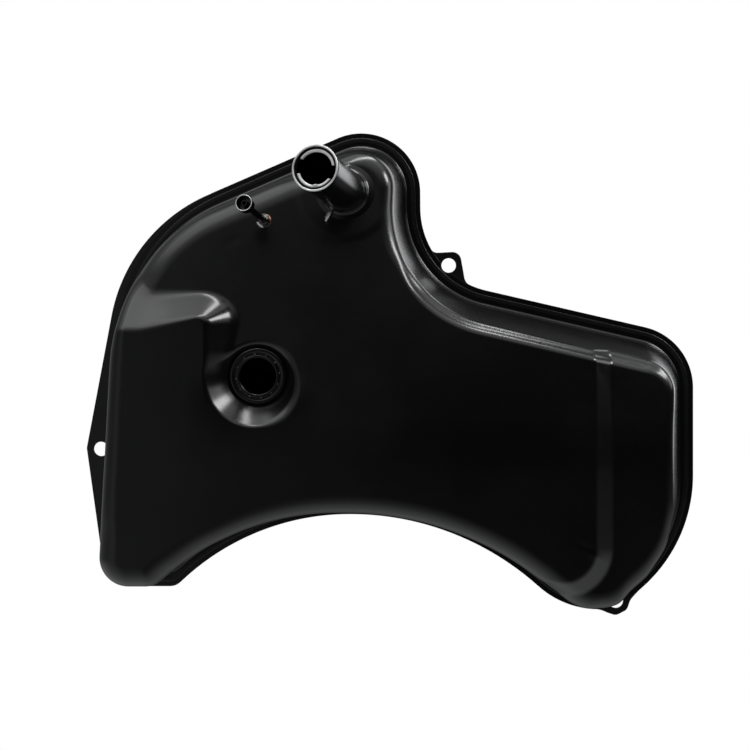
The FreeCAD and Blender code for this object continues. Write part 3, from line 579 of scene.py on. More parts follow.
def hex_grid(outline, spacing):
    """Hexagonally packed points over the outline's bounding box."""
    (x0, z), (x1, z1) = outline.min(0), outline.max(0)
    rows = []
    while z <= z1:
        xs = np.arange(x0 + (0.5 * spacing if len(rows) % 2 else 0.0), x1, spacing)
        rows.append(np.stack([xs, np.full(len(xs), z)], 1))
        z += spacing * 0.8660254
    return np.vstack(rows)


def circle(centre_x, centre_z, radius, count):
    angle = np.arange(count) * 2 * math.pi / count
    return np.stack([centre_x + radius * np.cos(angle), centre_z + radius * np.sin(angle)], 1)


def piece(ob, node=None):
    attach(ob, "root")
    if node:
        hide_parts(node)
    return ob


# =====================================================================
# A pressed half: flange, bend, drafted wall, rounded rim, face
# =====================================================================
RING_STEP = 3.0            # spacing round the wall
FLANGE_STEP = 1.6          # spacing round the flange edge, before close points are dropped
FLANGE_GRID = 5.0
BEND_STEPS = 6
EDGE_INSET = 0.3           # chamfer of the flange's cut edge
EDGE_HEIGHTS = (0.72, 0.28)


@dataclass
class Half:
    side: int               # -1 stands out towards -Y, +1 towards +Y
    skin: Callable          # field of the outer skin (x, h, z)
    wall: Callable          # field of the drafted wall alone (x, h, z)
    roof: Callable          # face height (x, z)
    draft: Callable         # draft tangent (x, z)
    radius: Callable        # rim radius (x, z)
    rim: Callable           # field of the flange edge (x, z)
    first_crossing: bool    # flange edge: first crossing from the root, else the farthest
    bend: float             # bend radius between flange and wall
    wall_rings: int
    rim_rings: int
    grid: float             # spacing of points over the face
    fine: Callable          # where that spacing is halved (x, z)
    face_holes: list
    flange_holes: list


def side_rings(half):
    """Rings of (x, h, z) from the flange's inner edge to the face, and the bend's normals."""
    points, normals = ROOT.sample(RING_STEP)

    def inward_by(distance):
        return points[:, 0] + normals[:, 0] * distance, points[:, 1] + normals[:, 1] * distance

    def field_at(field, distance, height):
        x, z = inward_by(distance)
        return field(x, height, z)

    # bend between flange and wall
    draft = half.draft(points[:, 0], points[:, 1])
    tilt = np.arctan(draft)
    bend_height = SHEET + half.bend
    bend_centre = (bend_height * np.sin(tilt) - half.bend) / np.cos(tilt)
    rings, bend_normals = [], []
    for k in range(BEND_STEPS + 1):
        angle = -math.pi / 2 + (math.pi / 2 - tilt) * k / BEND_STEPS
        cos, sin = np.cos(angle), np.sin(angle)
        rings.append((bend_centre + half.bend * cos, bend_height + half.bend * sin))
        bend_normals.append(np.stack([-cos * normals[:, 0], -sin, -cos * normals[:, 1]], 1))

    # centre of the rim's rounding, one radius from both the wall and the face
    radius = half.radius(points[:, 0], points[:, 1])
    none = np.zeros(len(points))
    centre = radius + bend_height * draft
    for _ in range(14):
        x, z = inward_by(centre)
        slope_x, slope_z = plan_gradient(half.roof, x, z, 0.5)
        height = half.roof(x, z) - radius * np.sqrt(1 + slope_x * slope_x + slope_z * slope_z)
        found = bisect(lambda d: -(field_at(half.wall, d, height) + radius),
                       none + 0.2, none + 60.0, 18)
        centre = 0.5 * centre + 0.5 * found

    # wall
    x, z = inward_by(centre)
    first_angle = np.pi - np.arctan(half.draft(x, z))
    wall_start = rings[-1][1]
    wall_end = height + radius * np.sin(first_angle) * 0.75
    for k in range(1, half.wall_rings + 1):
        level = wall_start + (wall_end - wall_start) * (k / (half.wall_rings + 0.6))
        rings.append((bisect(lambda d: field_at(half.skin, d, level), centre, none - 8.0), level))

    # rim; a large radius is carried farther over on to the face
    ahead = normals * 0.5
    face_slope = (half.roof(x + ahead[:, 0], z + ahead[:, 1])
                  - half.roof(x - ahead[:, 0], z - ahead[:, 1]))
    last_angle = np.pi / 2 + np.arctan(face_slope) + smoothstep(radius, 16.0, 20.0) * 0.8
    for k in range(half.rim_rings + 1):
        angle = first_angle + (last_angle - first_angle) * k / half.rim_rings
        cos, sin = np.cos(angle), np.sin(angle)
        ray = bisect(lambda s: field_at(half.skin, centre + cos * s, height + sin * s),
                     none, radius * 2.2)
        rings.append((centre + cos * ray, height + sin * ray))

    x, z = inward_by(np.stack([distance for distance, _ in rings]))
    heights = np.stack([level for _, level in rings])
    return np.stack([x, heights, z], -1), np.vstack(bend_normals)


def cap_face(half, edge):
    """Points added inside the last ring, and triangles over ring and added points."""
    outline = edge[:, [0, 2]]
    coarse, dense = hex_grid(outline, half.grid), hex_grid(outline, half.grid * 0.5)
    extra = np.vstack([coarse[~half.fine(coarse[:, 0], coarse[:, 1])],
                       dense[half.fine(dense[:, 0], dense[:, 1])]])
    plan, triangles = triangulate([outline] + half.face_holes, extra, half.grid * 0.45)
    x, z = plan[len(edge):].T
    guess = half.roof(x, z)
    height = bisect(lambda h: half.skin(x, h, z), guess - 14.0, guess + 3.0)
    return np.stack([x, height, z], 1), triangles


def flange_edge(half):
    """The flange's outer edge and its outward normals, found by moving out from the root."""
    points, normals = ROOT.sample(FLANGE_STEP)

    def rim_at(distance):
        return half.rim(points[:, 0] - normals[:, 0] * distance,
                        points[:, 1] - normals[:, 1] * distance)

    reaches = np.linspace(42.0, 4.0, 100)
    inside = np.stack([rim_at(reach) < 0 for reach in reaches])
    if half.first_crossing:
        crossing = np.clip(len(reaches) - (~inside[::-1]).argmax(0), 1, len(reaches) - 1)
    else:
        crossing = inside.argmax(0)
    reach = bisect(rim_at, reaches[crossing], reaches[np.maximum(crossing - 1, 0)])
    edge = points - normals * reach[:, None]
    keep = [0]
    for i in range(1, len(edge)):
        if np.hypot(*(edge[i] - edge[keep[-1]])) > 1.0:
            keep.append(i)
    edge = edge[keep]
    outward = np.stack(plan_gradient(half.rim, edge[:, 0], edge[:, 1], 0.3), 1)
    outward /= np.maximum(np.linalg.norm(outward, axis=1, keepdims=True), 1e-9)
    return edge, outward


def loop_numbers(start, loops):
    """Vertex numbers of consecutive loops."""
    numbers = []
    for loop in loops:
        numbers.append(start + np.arange(len(loop)))
        start += len(loop)
    return numbers


def pressing(name, half):
    rings, bend_normals = side_rings(half)
    ring_count, around = rings.shape[:2]
    points = rings.reshape(-1, 3)
    normals = field_normals(half.skin, points)
    normals[:len(bend_normals)] = bend_normals
    wall_faces = ring_quads(np.arange(len(points)).reshape(ring_count, around))

    # face: its numbering runs on from the last ring
    added, face_faces = cap_face(half, rings[-1])
    face_faces = face_faces + len(points) - around
    holes = loop_numbers(len(points), half.face_holes)
    points = np.vstack([points, added])
    normals = np.vstack([normals, field_normals(half.skin, added)])

    # flange: outer loop, first ring, then holes and added points
    edge, outward = flange_edge(half)
    edge_count = len(edge)
    plan, flange_faces = triangulate(
        [edge - outward * EDGE_INSET, rings[0][:, [0, 2]]] + half.flange_holes,
        hex_grid(edge, FLANGE_GRID), 1.6)
    start = len(points)
    plan_numbers = np.concatenate([start + np.arange(edge_count), np.arange(around),
                                   start + np.arange(edge_count, len(plan) - around)])
    flange_faces = plan_numbers[flange_faces]
    holes += loop_numbers(start + edge_count, half.flange_holes)
    added = np.vstack([plan[:edge_count], plan[edge_count + around:]])
    added = np.stack([added[:, 0], np.full(len(added), SHEET), added[:, 1]], 1)
    points = np.vstack([points, added])
    normals = np.vstack([normals, np.tile([0.0, 1.0, 0.0], (len(added), 1))])

    # inner skin, one sheet thickness in, and the two rings of the cut edge
    outer_faces = [turn_outward(faces, points, normals[faces].mean(1))
                   for faces in (wall_faces, face_faces, flange_faces)]
    outer_count = len(points)
    inner_faces = [faces[:, ::-1] + outer_count for faces in outer_faces]
    edge_rings = [np.stack([edge[:, 0], np.full(edge_count, height), edge[:, 1]], 1)
                  for height in EDGE_HEIGHTS]
    edge_normals = np.stack([outward[:, 0], np.zeros(edge_count), outward[:, 1]], 1)
    points = np.vstack([points, points - normals * SHEET] + edge_rings)
    normals = np.vstack([normals, -normals, edge_normals, edge_normals])
    edge_start = 2 * outer_count + np.arange(edge_count)
    edge_faces = ring_quads(np.stack([start + np.arange(edge_count), edge_start,
                                      edge_start + edge_count,
                                      start + np.arange(edge_count) + outer_count]))
    turn_outward(edge_faces, points, np.tile(edge_normals, (3, 1)))

    hole_faces = []
    for hole in holes:
        faces = ring_quads(np.stack([hole, hole + outer_count]))
        to_centre = points[hole].mean(0) - points[faces].mean(1)
        hole_faces.append(turn_outward(faces, points, to_centre))

    all_faces = []
    for faces in outer_faces + inner_faces + [edge_faces] + hole_faces:
        all_faces += faces.tolist()
    first_hole_face = len(all_faces) - sum(len(faces) for faces in hole_faces)
    # mirroring for the front half turns every face inside out
    if half.side < 0:
        all_faces = [face[::-1] for face in all_faces]
    mirror = np.array([1.0, half.side, 1.0])
    return make_object(name, points * mirror, all_faces, normals * mirror,
                       sharp=range(first_hole_face, len(all_faces)))


def reach_face(points, axis, near, far, roof=front_roof):
    """Distance back along axis, between near and far, from points to the front face."""
    count = len(points)
    return bisect(lambda t: front_skin(points[:, 0] - axis[0] * t, -(points[:, 1] - axis[1] * t),
                                       points[:, 2] - axis[2] * t, roof),
                  np.full(count, far), np.full(count, near))


def tube_hole(tip, axis, radius, count):
    """Plan loop where a round tube leaves the front face, wrinkles left out."""
    angle = np.arange(count) * 2 * math.pi / count
    across = unit(np.cross(axis, [1.0, 0, 0]))
    ring = tip + radius * (np.cos(angle)[:, None] * across
                           + np.sin(angle)[:, None] * np.cross(axis, across))
    distance = reach_face(ring, axis, 30.0, 140.0, plain_roof)
    return (ring - axis * distance[:, None])[:, [0, 2]]


def front_rim(x, z):
    """Front flange edge, notched round the two ear holes."""
    edge = FRONT_RIM.distance(x, z)
    for ear_x, ear_z in (TOP_EAR, LOW_EAR):
        edge = blend_max(edge, EAR_NOTCH_RADIUS - np.hypot(x - ear_x, z - ear_z), 0.8)
    return edge


def back_rim(x, z):
    """Back flange edge, joined with the two ears."""
    edge = blend_min(BACK_RIM.distance(x, z), TOP_EAR_EDGE.distance(x, z), 4.0)
    return blend_min(edge, LOW_EAR_EDGE.distance(x, z), 3.0)


def front_fine(x, z):
    past_block = rounded_corner(x + 228.2, z + 61.5, 13.0)
    block = (past_block > -9) & (past_block < 34) & (x < -150)
    shelf = (-ROOT.distance(x, z) < 31) & (x > -70) & (x < 216) & (z > -190)
    terrace = (x > 128) & (x < 160) | ((z < -285) & (x > 90))
    return block | (port_distance(x, z) < 48) | shelf | terrace


def back_fine(x, z):
    near = np.zeros(np.shape(x), bool)
    for gap in bead_distances(x, z):
        near |= gap < 13.0
    return near


front = piece(pressing("front_pressing", Half(
    side=-1, skin=front_skin, wall=front_wall, roof=front_roof,
    draft=lambda x, z: wall_shape(x, z)[0], radius=lambda x, z: wall_shape(x, z)[1],
    rim=front_rim, first_crossing=True, bend=3.0, wall_rings=12, rim_rings=12,
    grid=2.6, fine=front_fine,
    face_holes=[tube_hole(NECK_TIP, NECK_AXIS, 20.05, 72),
                tube_hole(VENT_TIP, VENT_AXIS, 3.05, 20),
                circle(PORT[0], PORT[2], PORT_RADIUS, 72)],
    flange_holes=[])), "front_shell")
back = piece(pressing("back_pressing", Half(
    side=1, skin=back_skin, wall=back_wall, roof=back_roof,
    draft=lambda x, z: np.full(np.shape(x), BACK_DRAFT),
    radius=lambda x, z: np.full(np.shape(x), BACK_RIM_RADIUS),
    rim=back_rim, first_crossing=False, bend=2.0, wall_rings=3, rim_rings=6,
    grid=4.0, fine=back_fine,
    face_holes=[circle(*centre, BACK_HOLE_RADIUS, 48) for centre in (OUTLET, DRAIN)],
    flange_holes=[circle(*centre, EAR_HOLE_RADIUS, 48)
                  for centre in (TOP_EAR, LEFT_EAR, LOW_EAR)])), "back_shell")


# =====================================================================
# Round parts. Profiles are (radius, distance along the axis), closed.
# =====================================================================
def axis_frame(axis):
    """Two directions across the axis, nearest to x and z, and the axis itself."""
    axis = unit(np.asarray(axis, float))
    across_x, up = np.array([1.0, 0.0, 0.0]), np.array([0.0, 0.0, 1.0])
    across_x = unit(across_x - axis * (across_x @ axis))
    across_z = unit(up - axis * (up @ axis) - across_x * (up @ across_x))
    return across_x, across_z, axis


def soften(profile, radius):
    """Rounds every corner of a closed profile with a short curve of two steps."""
    points = np.array(profile, float)
    out = []
    for i, here in enumerate(points):
        before, after = points[i - 1] - here, points[(i + 1) % len(points)] - here
        length_before, length_after = np.linalg.norm(before), np.linalg.norm(after)
        cut = min(radius, length_before * 0.42, length_after * 0.42)
        start, end = here + before / length_before * cut, here + after / length_after * cut
        for t in (0.0, 0.5, 1.0):
            out.append((1 - t) ** 2 * start + 2 * t * (1 - t) * here + t * t * end)
    return np.array(out)


def subdivide(profile, step):
    """Splits the long sides of a closed profile along the axis."""
    out = []
    for start, end in zip(profile, profile[1:] + profile[:1]):
        pieces = max(1, int(abs(end[1] - start[1]) / step))
        out += [(start[0] + (end[0] - start[0]) * k / pieces,
                 start[1] + (end[1] - start[1]) * k / pieces) for k in range(pieces)]
    return out


def lathe(name, origin, axis, profile, segments, warp=None, sharp_angle=38.0):
    """Turns a profile about an axis. warp(angle, radius, along) reshapes radius and along."""
    across_x, across_z, axis = axis_frame(axis)
    profile = np.asarray(profile, float)
    angle = np.tile((np.arange(segments) * 2 * math.pi / segments)[:, None], (1, len(profile)))
    radius = np.tile(profile[:, 0], (segments, 1))
    along = np.tile(profile[:, 1], (segments, 1))
    if warp:
        radius, along = warp(angle, radius, along)
    ray = np.cos(angle)[..., None] * across_x + np.sin(angle)[..., None] * across_z
    points = np.asarray(origin) + radius[..., None] * ray + along[..., None] * axis
    ob = make_object(name, points.reshape(-1, 3), torus_quads(segments, len(profile)))
    fix_normals(ob)
    split_shading(ob, sharp_angle)
    return ob


def foot_skirt(name, tip, axis, profile, segments, wobble=0.0):
    """A flared foot that grows out of the front face round a slanted tube. profile: (radius,
    lift above the face along the axis)."""
    across_x, across_z, axis = axis_frame(axis)
    angle = np.arange(segments) * 2 * math.pi / segments
    ray = np.cos(angle)[:, None] * across_x + np.sin(angle)[:, None] * across_z
    rings = []
    for k, (radius, lift) in enumerate(profile):
        radii = np.full(segments, radius)
        if 0 < k < len(profile) - 1:
            radii = radii + (wobble * np.sin(angle * 17 + k) * 0.5
                             + wobble * np.sin(angle * 7 + 1.3 * k) * 0.5)
        ring = tip + radii[:, None] * ray
        rings.append(ring - axis * (reach_face(ring, axis, 40.0, 130.0) - lift)[:, None])
    ob = make_object(name, np.vstack(rings), torus_quads(len(rings), segments))
    fix_normals(ob)
    split_shading(ob, 50.0)
    return ob


# ---- filler neck: plain tube, its edge eased at the mouth
NECK_PROFILE = [(18.8, -6.0), (18.8, -107.6), (20.0, -107.6), (20.0, -12.0), (20.0, -6.4),
                (19.9, -0.6), (18.9, -0.6)]
neck = piece(lathe("neck_tube", NECK_TIP, NECK_AXIS, subdivide(NECK_PROFILE, 9.0), 144),
             "filler_neck")

# ---- collar at its foot: upstand, rolled shoulder, flare that dies into the face
COLLAR_PROFILE = [
    (20.15, -1.0), (20.15, 4.6), (20.4, 5.0), (20.8, 4.9), (21.1, 4.3), (21.3, 3.3), (21.7, 2.3),
    (22.3, 1.6), (23.1, 1.1), (24.0, 0.8), (24.9, 0.6), (25.7, 0.4), (26.5, 0.2), (27.2, 0.02),
    (27.2, -1.0)]
collar = piece(foot_skirt("neck_foot", NECK_TIP, NECK_AXIS, COLLAR_PROFILE, 144),
               "neck_collar")

# ---- bayonet mouth: rolled rim, sunk groove, two turned-in lips with gaps and a stop
LIP_ROOT = 17.9                          # radius inside which the lips lie
LIP_GAPS = [(168.5, 24.0), (-16.0, 22.0)]    # centre and half width, degrees
STOP_ANGLE = math.radians(-90.0)
STOP_HALF_WIDTH = math.radians(7.5)
STOP_RADIUS = 15.6
MOUTH_PROFILE = [
    (21.25, -6.0), (21.25, -3.0), (21.25, 1.4), (21.6, 2.0), (21.55, 2.7), (21.1, 3.12),
    (20.6, 3.2), (20.1, 3.05), (19.75, 2.6), (19.65, 1.9), (19.6, 0.4), (19.4, -0.1),
    (18.9, -0.3), (18.2, -0.25), (17.9, 0.1), (17.75, 0.8), (17.5, 1.15), (17.0, 1.3),
    (16.2, 1.25), (15.6, 1.0), (15.15, 0.5), (15.0, -0.1), (15.0, -1.1), (15.35, -1.2),
    (15.7, -0.9), (16.2, 0.1), (16.8, 0.3), (17.3, 0.1), (17.6, -0.6), (18.2, -1.1),
    (19.2, -1.2), (20.0, -1.0), (20.15, -1.6), (20.15, -6.0)]


def shape_lips(angle, radius, along):
    """Cuts the gaps back to the lip root and raises the stop."""
    degrees = np.degrees(angle)
    lip = np.ones(radius.shape)
    for centre, half_width in LIP_GAPS:
        off = np.abs((degrees - centre + 180) % 360 - 180)
        lip = np.minimum(lip, smoothstep(off, half_width - 1.3, half_width + 1.3))
    inner = radius < LIP_ROOT
    cut_radius = np.where(inner, LIP_ROOT + (radius - LIP_ROOT) * (0.05 + 0.95 * lip), radius)
    cut_along = np.where(inner, along * (0.35 + 0.65 * lip) - 0.5 * (1 - lip), along)
    off = np.abs((angle - STOP_ANGLE + math.pi) % (2 * math.pi) - math.pi)
    stop = (np.exp(-(off / STOP_HALF_WIDTH) ** 4)
            * np.exp(-((radius - STOP_RADIUS) / 1.5) ** 2) * (along > -0.3))
    return cut_radius - 0.55 * stop, cut_along + 1.1 * stop


mouth = piece(lathe("bayonet_rim", NECK_TIP, NECK_AXIS, MOUTH_PROFILE, 288, shape_lips, 60.0),
              "bayonet_mouth")

# ---- vent: pipe, cup, brazed foot
PIPE_PROFILE = [(2.0, 0.0), (2.0, -91.5), (3.0, -91.5), (3.0, -0.5), (2.7, 0.0)]
pipe = piece(lathe("vent_tube", VENT_TIP, VENT_AXIS, subdivide(PIPE_PROFILE, 8.0), 48),
             "vent_pipe")

CUP_HALF_LENGTH = 5.5
cup_low, cup_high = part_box("vent_cup")
cup_centre = (np.array(cup_low) + np.array(cup_high)) / 2 / MM
cup_middle = float((cup_centre - VENT_TIP) @ VENT_AXIS)
cup_foot, cup_lip = cup_middle - CUP_HALF_LENGTH, cup_middle + CUP_HALF_LENGTH
CUP_PROFILE = [
    (3.05, cup_foot), (3.05, cup_foot + 1.0), (6.2, cup_foot + 1.0), (6.9, cup_foot + 1.7),
    (6.9, cup_lip - 0.3), (7.15, cup_lip), (7.5, cup_lip), (7.7, cup_lip - 0.25),
    (7.7, cup_lip - 1.6), (7.7, cup_foot + 1.2), (6.9, cup_foot + 0.2), (6.4, cup_foot)]
cup = piece(lathe("vent_shroud", VENT_TIP, VENT_AXIS, soften(CUP_PROFILE, 0.3), 72,
                  sharp_angle=45.0), "vent_cup")

BRAZE_PROFILE = [(3.05, -0.6), (3.05, 3.6), (3.35, 3.5), (4.0, 2.4), (5.0, 1.7), (5.9, 1.3),
                 (6.6, 0.7), (7.1, 0.02), (7.1, -0.6)]
boss = piece(foot_skirt("vent_braze", VENT_TIP, VENT_AXIS, BRAZE_PROFILE, 72, wobble=0.22),
             "vent_boss")

# ---- sender ring
SENDER_PROFILE = [
    (17.0, 0.0), (17.0, 2.2), (17.7, 3.0), (19.2, 3.0), (19.6, 2.7), (22.6, 2.7), (23.0, 3.0),
    (24.9, 3.0), (25.6, 2.8), (26.2, 2.3), (26.6, 1.6), (26.75, 0.8), (26.75, 0.0)]
ring = piece(lathe("sender_flange", PORT, PORT_AXIS, soften(SENDER_PROFILE, 0.28), 144,
                   sharp_angle=40.0), "sender_ring")

# ---- small domed pips on the sender ring
PIP_COUNT = 12
PIP_FIRST_ANGLE = 8.0
PIP_CIRCLE = 20.6          # radius of the circle they stand on
PIP_BASE = 2.55            # over the port's level
PIP_HEIGHT = 0.75
PIP_ROWS, PIP_SEGMENTS = 5, 18


def sender_pips():
    points, faces = [], []
    for k in range(PIP_COUNT):
        place = math.radians(PIP_FIRST_ANGLE + 360.0 / PIP_COUNT * k)
        centre_x = PORT[0] + PIP_CIRCLE * math.cos(place)
        centre_z = PORT[2] + PIP_CIRCLE * math.sin(place)
        base_y = PORT[1] - PIP_BASE
        base = len(points)
        radius = 1.15 + 0.12 * math.sin(k * 2.1)
        for i in range(PIP_ROWS):
            climb = i / PIP_ROWS * math.pi / 2
            row_radius = radius * math.cos(climb)
            for j in range(PIP_SEGMENTS):
                angle = 2 * math.pi * j / PIP_SEGMENTS
                points.append((centre_x + row_radius * math.cos(angle),
                               base_y - PIP_HEIGHT * math.sin(climb),
                               centre_z + row_radius * math.sin(angle)))
        apex, floor = len(points), len(points) + 1
        points.append((centre_x, base_y - PIP_HEIGHT, centre_z))
        points.append((centre_x, base_y, centre_z))
        index = base + np.arange(PIP_ROWS * PIP_SEGMENTS).reshape(PIP_ROWS, PIP_SEGMENTS)
        faces += ring_quads(index).tolist()
        for j in range(PIP_SEGMENTS):
            beside = (j + 1) % PIP_SEGMENTS
            faces.append((index[-1, j], index[-1, beside], apex))
            faces.append((base + beside, base + j, floor))
    ob = make_object("sender_pips", points, faces)
    fix_normals(ob)
    return ob


pips = piece(sender_pips(), None)

# ---- thin blade of the hose clip, lying along y
BLADE_START, BLADE_END = np.array([-117.6, 40.7]), np.array([-112.4, 49.2])   # plan
BLADE_Y = (-70.6, -79.4)
BLADE_HALF_THICKNESS = 0.62


def clip_blade():
    along = unit(BLADE_END - BLADE_START)
    across = np.array([-along[1], along[0]]) * BLADE_HALF_THICKNESS
    corners = [BLADE_START - across, BLADE_END - across, BLADE_END + across, BLADE_START + across]
    ob = make_object("clip_blade", [(x, y, z) for y in BLADE_Y for x, z in corners],
                     [(0, 1, 2, 3), (7, 6, 5, 4), (0, 4, 5, 1), (1, 5, 6, 2), (2, 6, 7, 3),
                      (3, 7, 4, 0)], smooth=False)
    fix_normals(ob)
    return ob


blade = piece(clip_blade(), None)

# ---- seam weld: a low rippled track on the front flange
TRACK_STEP = 0.95
TRACK_INSET = 7.2          # from the flange edge
TRACK_HALF_WIDTH = 2.3
TRACK_HEIGHT = 0.17
TRACK_PITCH = 2.6          # length of one ripple, before fitting a whole number round
TRACK_CLEARANCE = 8.5      # from the centre of the low ear's hole
# across (share of the half width), rise (share of the height; negative: mm below the flange)
TRACK_PROFILE = [(-1.0, -0.2), (-1.0, 0.02), (-0.8, 0.25), (-0.45, 0.8), (0.0, 1.0),
                 (0.45, 0.8), (0.8, 0.25), (1.0, 0.02), (1.0, -0.2)]


def seam_track():
    points, normals = FRONT_RIM.sample(TRACK_STEP, TRACK_INSET)
    count = len(points)
    lengths = np.linalg.norm(np.roll(points, -1, 0) - points, axis=1)
    travelled = np.concatenate([[0], np.cumsum(lengths)[:-1]])
    total = travelled[-1] + lengths[-1]
    phase = travelled / total * round(total / TRACK_PITCH) * 2 * math.pi
    fade = smoothstep(np.hypot(points[:, 0] - LOW_EAR[0], points[:, 1] - LOW_EAR[1]),
                      TRACK_CLEARANCE, TRACK_CLEARANCE + 5)
    columns = []
    for across, share in TRACK_PROFILE:
        offset = across * TRACK_HALF_WIDTH * (1 + 0.05 * np.sin(phase * 0.5))
        ripple = 0.72 + 0.28 * np.cos(phase - 1.1 * (1 - across * across))
        rise = share * TRACK_HEIGHT * ripple * fade if share > 0 else np.full(count, share)
        plan = points + normals * offset[:, None]
        columns.append(np.stack([plan[:, 0], -SHEET - rise, plan[:, 1]], 1))
    index = np.arange(count * len(columns)).reshape(count, len(columns))
    ahead = np.roll(index, -1, 0)
    faces = np.stack([index, ahead, np.roll(ahead, -1, 1), np.roll(index, -1, 1)], -1)
    ob = make_object("seam_track", np.stack(columns, 1).reshape(-1, 3), faces.reshape(-1, 4))
    fix_normals(ob)
    return ob


weld = piece(seam_track(), "seam_weld")


# =====================================================================
# Materials
# =====================================================================
class Nodes:
    """Short ways to add shader nodes. A fed value may be a number, a colour or a socket."""

    def __init__(self, tree):
        self.tree = tree

    def feed(self, socket, value):
        if isinstance(value, (int, float)):
            socket.default_value = value
        elif isinstance(value, tuple):
            socket.default_value = (*value, 1)
        else:
            self.tree.links.new(value, socket)

    def add(self, kind, inputs=None, **settings):
        """A node with inputs fed by name or number."""
        node = self.tree.nodes.new("ShaderNode" + kind)
        for key, value in settings.items():
            setattr(node, key, value)
        for key, value in (inputs or {}).items():
            self.feed(node.inputs[key], value)
        return node

    def span(self, source, over, to):
        """Maps the range over smoothly on to the range to."""
        return self.add("MapRange", {"Value": source, "From Min": over[0], "From Max": over[1],
                                     "To Min": to[0], "To Max": to[1]},
                        interpolation_type="SMOOTHSTEP").outputs["Result"]

    def maths(self, operation, a, b):
        return self.add("Math", {0: a, 1: b}, operation=operation).outputs[0]


class Material(Nodes):
    def __init__(self, name):
        self.material = bpy.data.materials.new(name)
        self.material.use_nodes = True
        super().__init__(self.material.node_tree)
        self.place = self.add("TexCoord").outputs["Object"]

    def noise(self, scale, detail=3.0, rough=0.5, stretch=None, distort=0.0):
        place = self.place
        if stretch:
            mapping = self.add("Mapping", {"Vector": place})
            mapping.inputs["Scale"].default_value = stretch
            place = mapping.outputs["Vector"]
        return self.add("TexNoise", {"Scale": scale, "Detail": detail, "Roughness": rough,
                                     "Distortion": distort, "Vector": place}).outputs["Fac"]

    def mix(self, share, first, second):
        return self.add("Mix", {0: share, 6: first, 7: second}, data_type="RGBA").outputs[2]

    def bump(self, height, distance, strength, under=None):
        inputs = {"Strength": strength, "Distance": distance, "Height": height}
        if under is not None:
            inputs["Normal"] = under
        return self.add("Bump", inputs).outputs["Normal"]

    def finish(self, color, rough, normal, metallic=0.0):
        shader = self.tree.nodes["Principled BSDF"]
        for key, value in (("Base Color", color), ("Roughness", rough), ("Normal", normal),
                           ("Metallic", metallic)):
            self.feed(shader.inputs[key], value)
        return self.material


def satin_paint(name, tone=0.0026, rough=(0.19, 0.25), peel=1.0, dusty=0.12):
    """Black stoving paint: faint orange peel, handling haze, a little settled dust."""
    m = Material(name)
    cloud = m.noise(scale=7.0, detail=4.0, rough=0.6)
    grain = m.noise(scale=240.0, rough=0.6)
    color = m.mix(m.span(cloud, over=(0.35, 0.7), to=(0.0, 1.0)),
                  (tone, tone, tone * 1.03), (tone * 1.35, tone * 1.35, tone * 1.4))
    cells = m.add("TexVoronoi", {"Scale": 300.0, "Vector": m.place}).outputs["Distance"]
    specks = m.span(cells, over=(0.0, 0.07), to=(1.0, 0.0))
    patches = m.span(m.noise(scale=45.0, detail=2.0), over=(0.62, 0.74), to=(0.0, 1.0))
    dust = m.maths("MULTIPLY", specks, patches)
    color = m.mix(m.maths("MULTIPLY", dust, dusty), color, (0.10, 0.10, 0.098))
    wipes = m.noise(scale=30.0, rough=0.55, stretch=(1.0, 1.0, 5.0), distort=0.4)
    gloss = m.maths("ADD", m.span(cloud, over=(0.3, 0.72), to=rough),
                    m.span(wipes, over=(0.5, 0.78), to=(0.0, 0.02)))
    gloss = m.maths("ADD", gloss, m.span(grain, over=(0.3, 0.8), to=(-0.006, 0.012)))
    normal = m.bump(m.noise(scale=520.0, detail=2.0), distance=0.000010 * peel, strength=0.5)
    normal = m.bump(m.noise(scale=70.0, detail=2.0), distance=0.000035 * peel, strength=0.5,
                    under=normal)
    return m.finish(color, gloss, normal)


def zinc(name):
    """Bright zinc plate with fine drawn lines and a few yellowed patches."""
    tone = (0.72, 0.73, 0.74)
    m = Material(name)
    mottle = m.noise(scale=220.0, detail=4.0, rough=0.6)
    lines = m.noise(scale=900.0, detail=2.0, stretch=(1.0, 1.0, 0.2))
    patches = m.noise(scale=40.0, rough=0.6)
    color = m.mix(m.span(mottle, over=(0.35, 0.75), to=(0.0, 0.55)),
                  tone, tuple(channel * 0.62 for channel in tone))
    color = m.mix(m.span(patches, over=(0.58, 0.75), to=(0.0, 0.35)), color, (0.5, 0.47, 0.40))
    rough = m.maths("ADD", m.span(mottle, over=(0.3, 0.8), to=(0.2, 0.34)),
                    m.span(lines, over=(0.3, 0.8), to=(0.0, 0.08)))
    normal = m.bump(mottle, distance=0.00004, strength=0.5)
    normal = m.bump(lines, distance=0.00002, strength=0.6, under=normal)
    return m.finish(color, rough, normal, metallic=1.0)


def phosphate(name):
    """Dark grey, finely crystalline coating."""
    m = Material(name)
    crystals = m.noise(scale=1100.0, rough=0.7)
    cloud = m.noise(scale=120.0, detail=4.0, rough=0.6)
    color = m.mix(m.span(cloud, over=(0.3, 0.75), to=(0.0, 1.0)),
                  (0.014, 0.0145, 0.015), (0.045, 0.046, 0.047))
    color = m.mix(m.span(crystals, over=(0.62, 0.85), to=(0.0, 0.35)), color, (0.12, 0.12, 0.12))
    return m.finish(color, m.span(crystals, over=(0.3, 0.8), to=(0.42, 0.62)),
                    m.bump(crystals, distance=0.00007, strength=0.7), metallic=0.35)


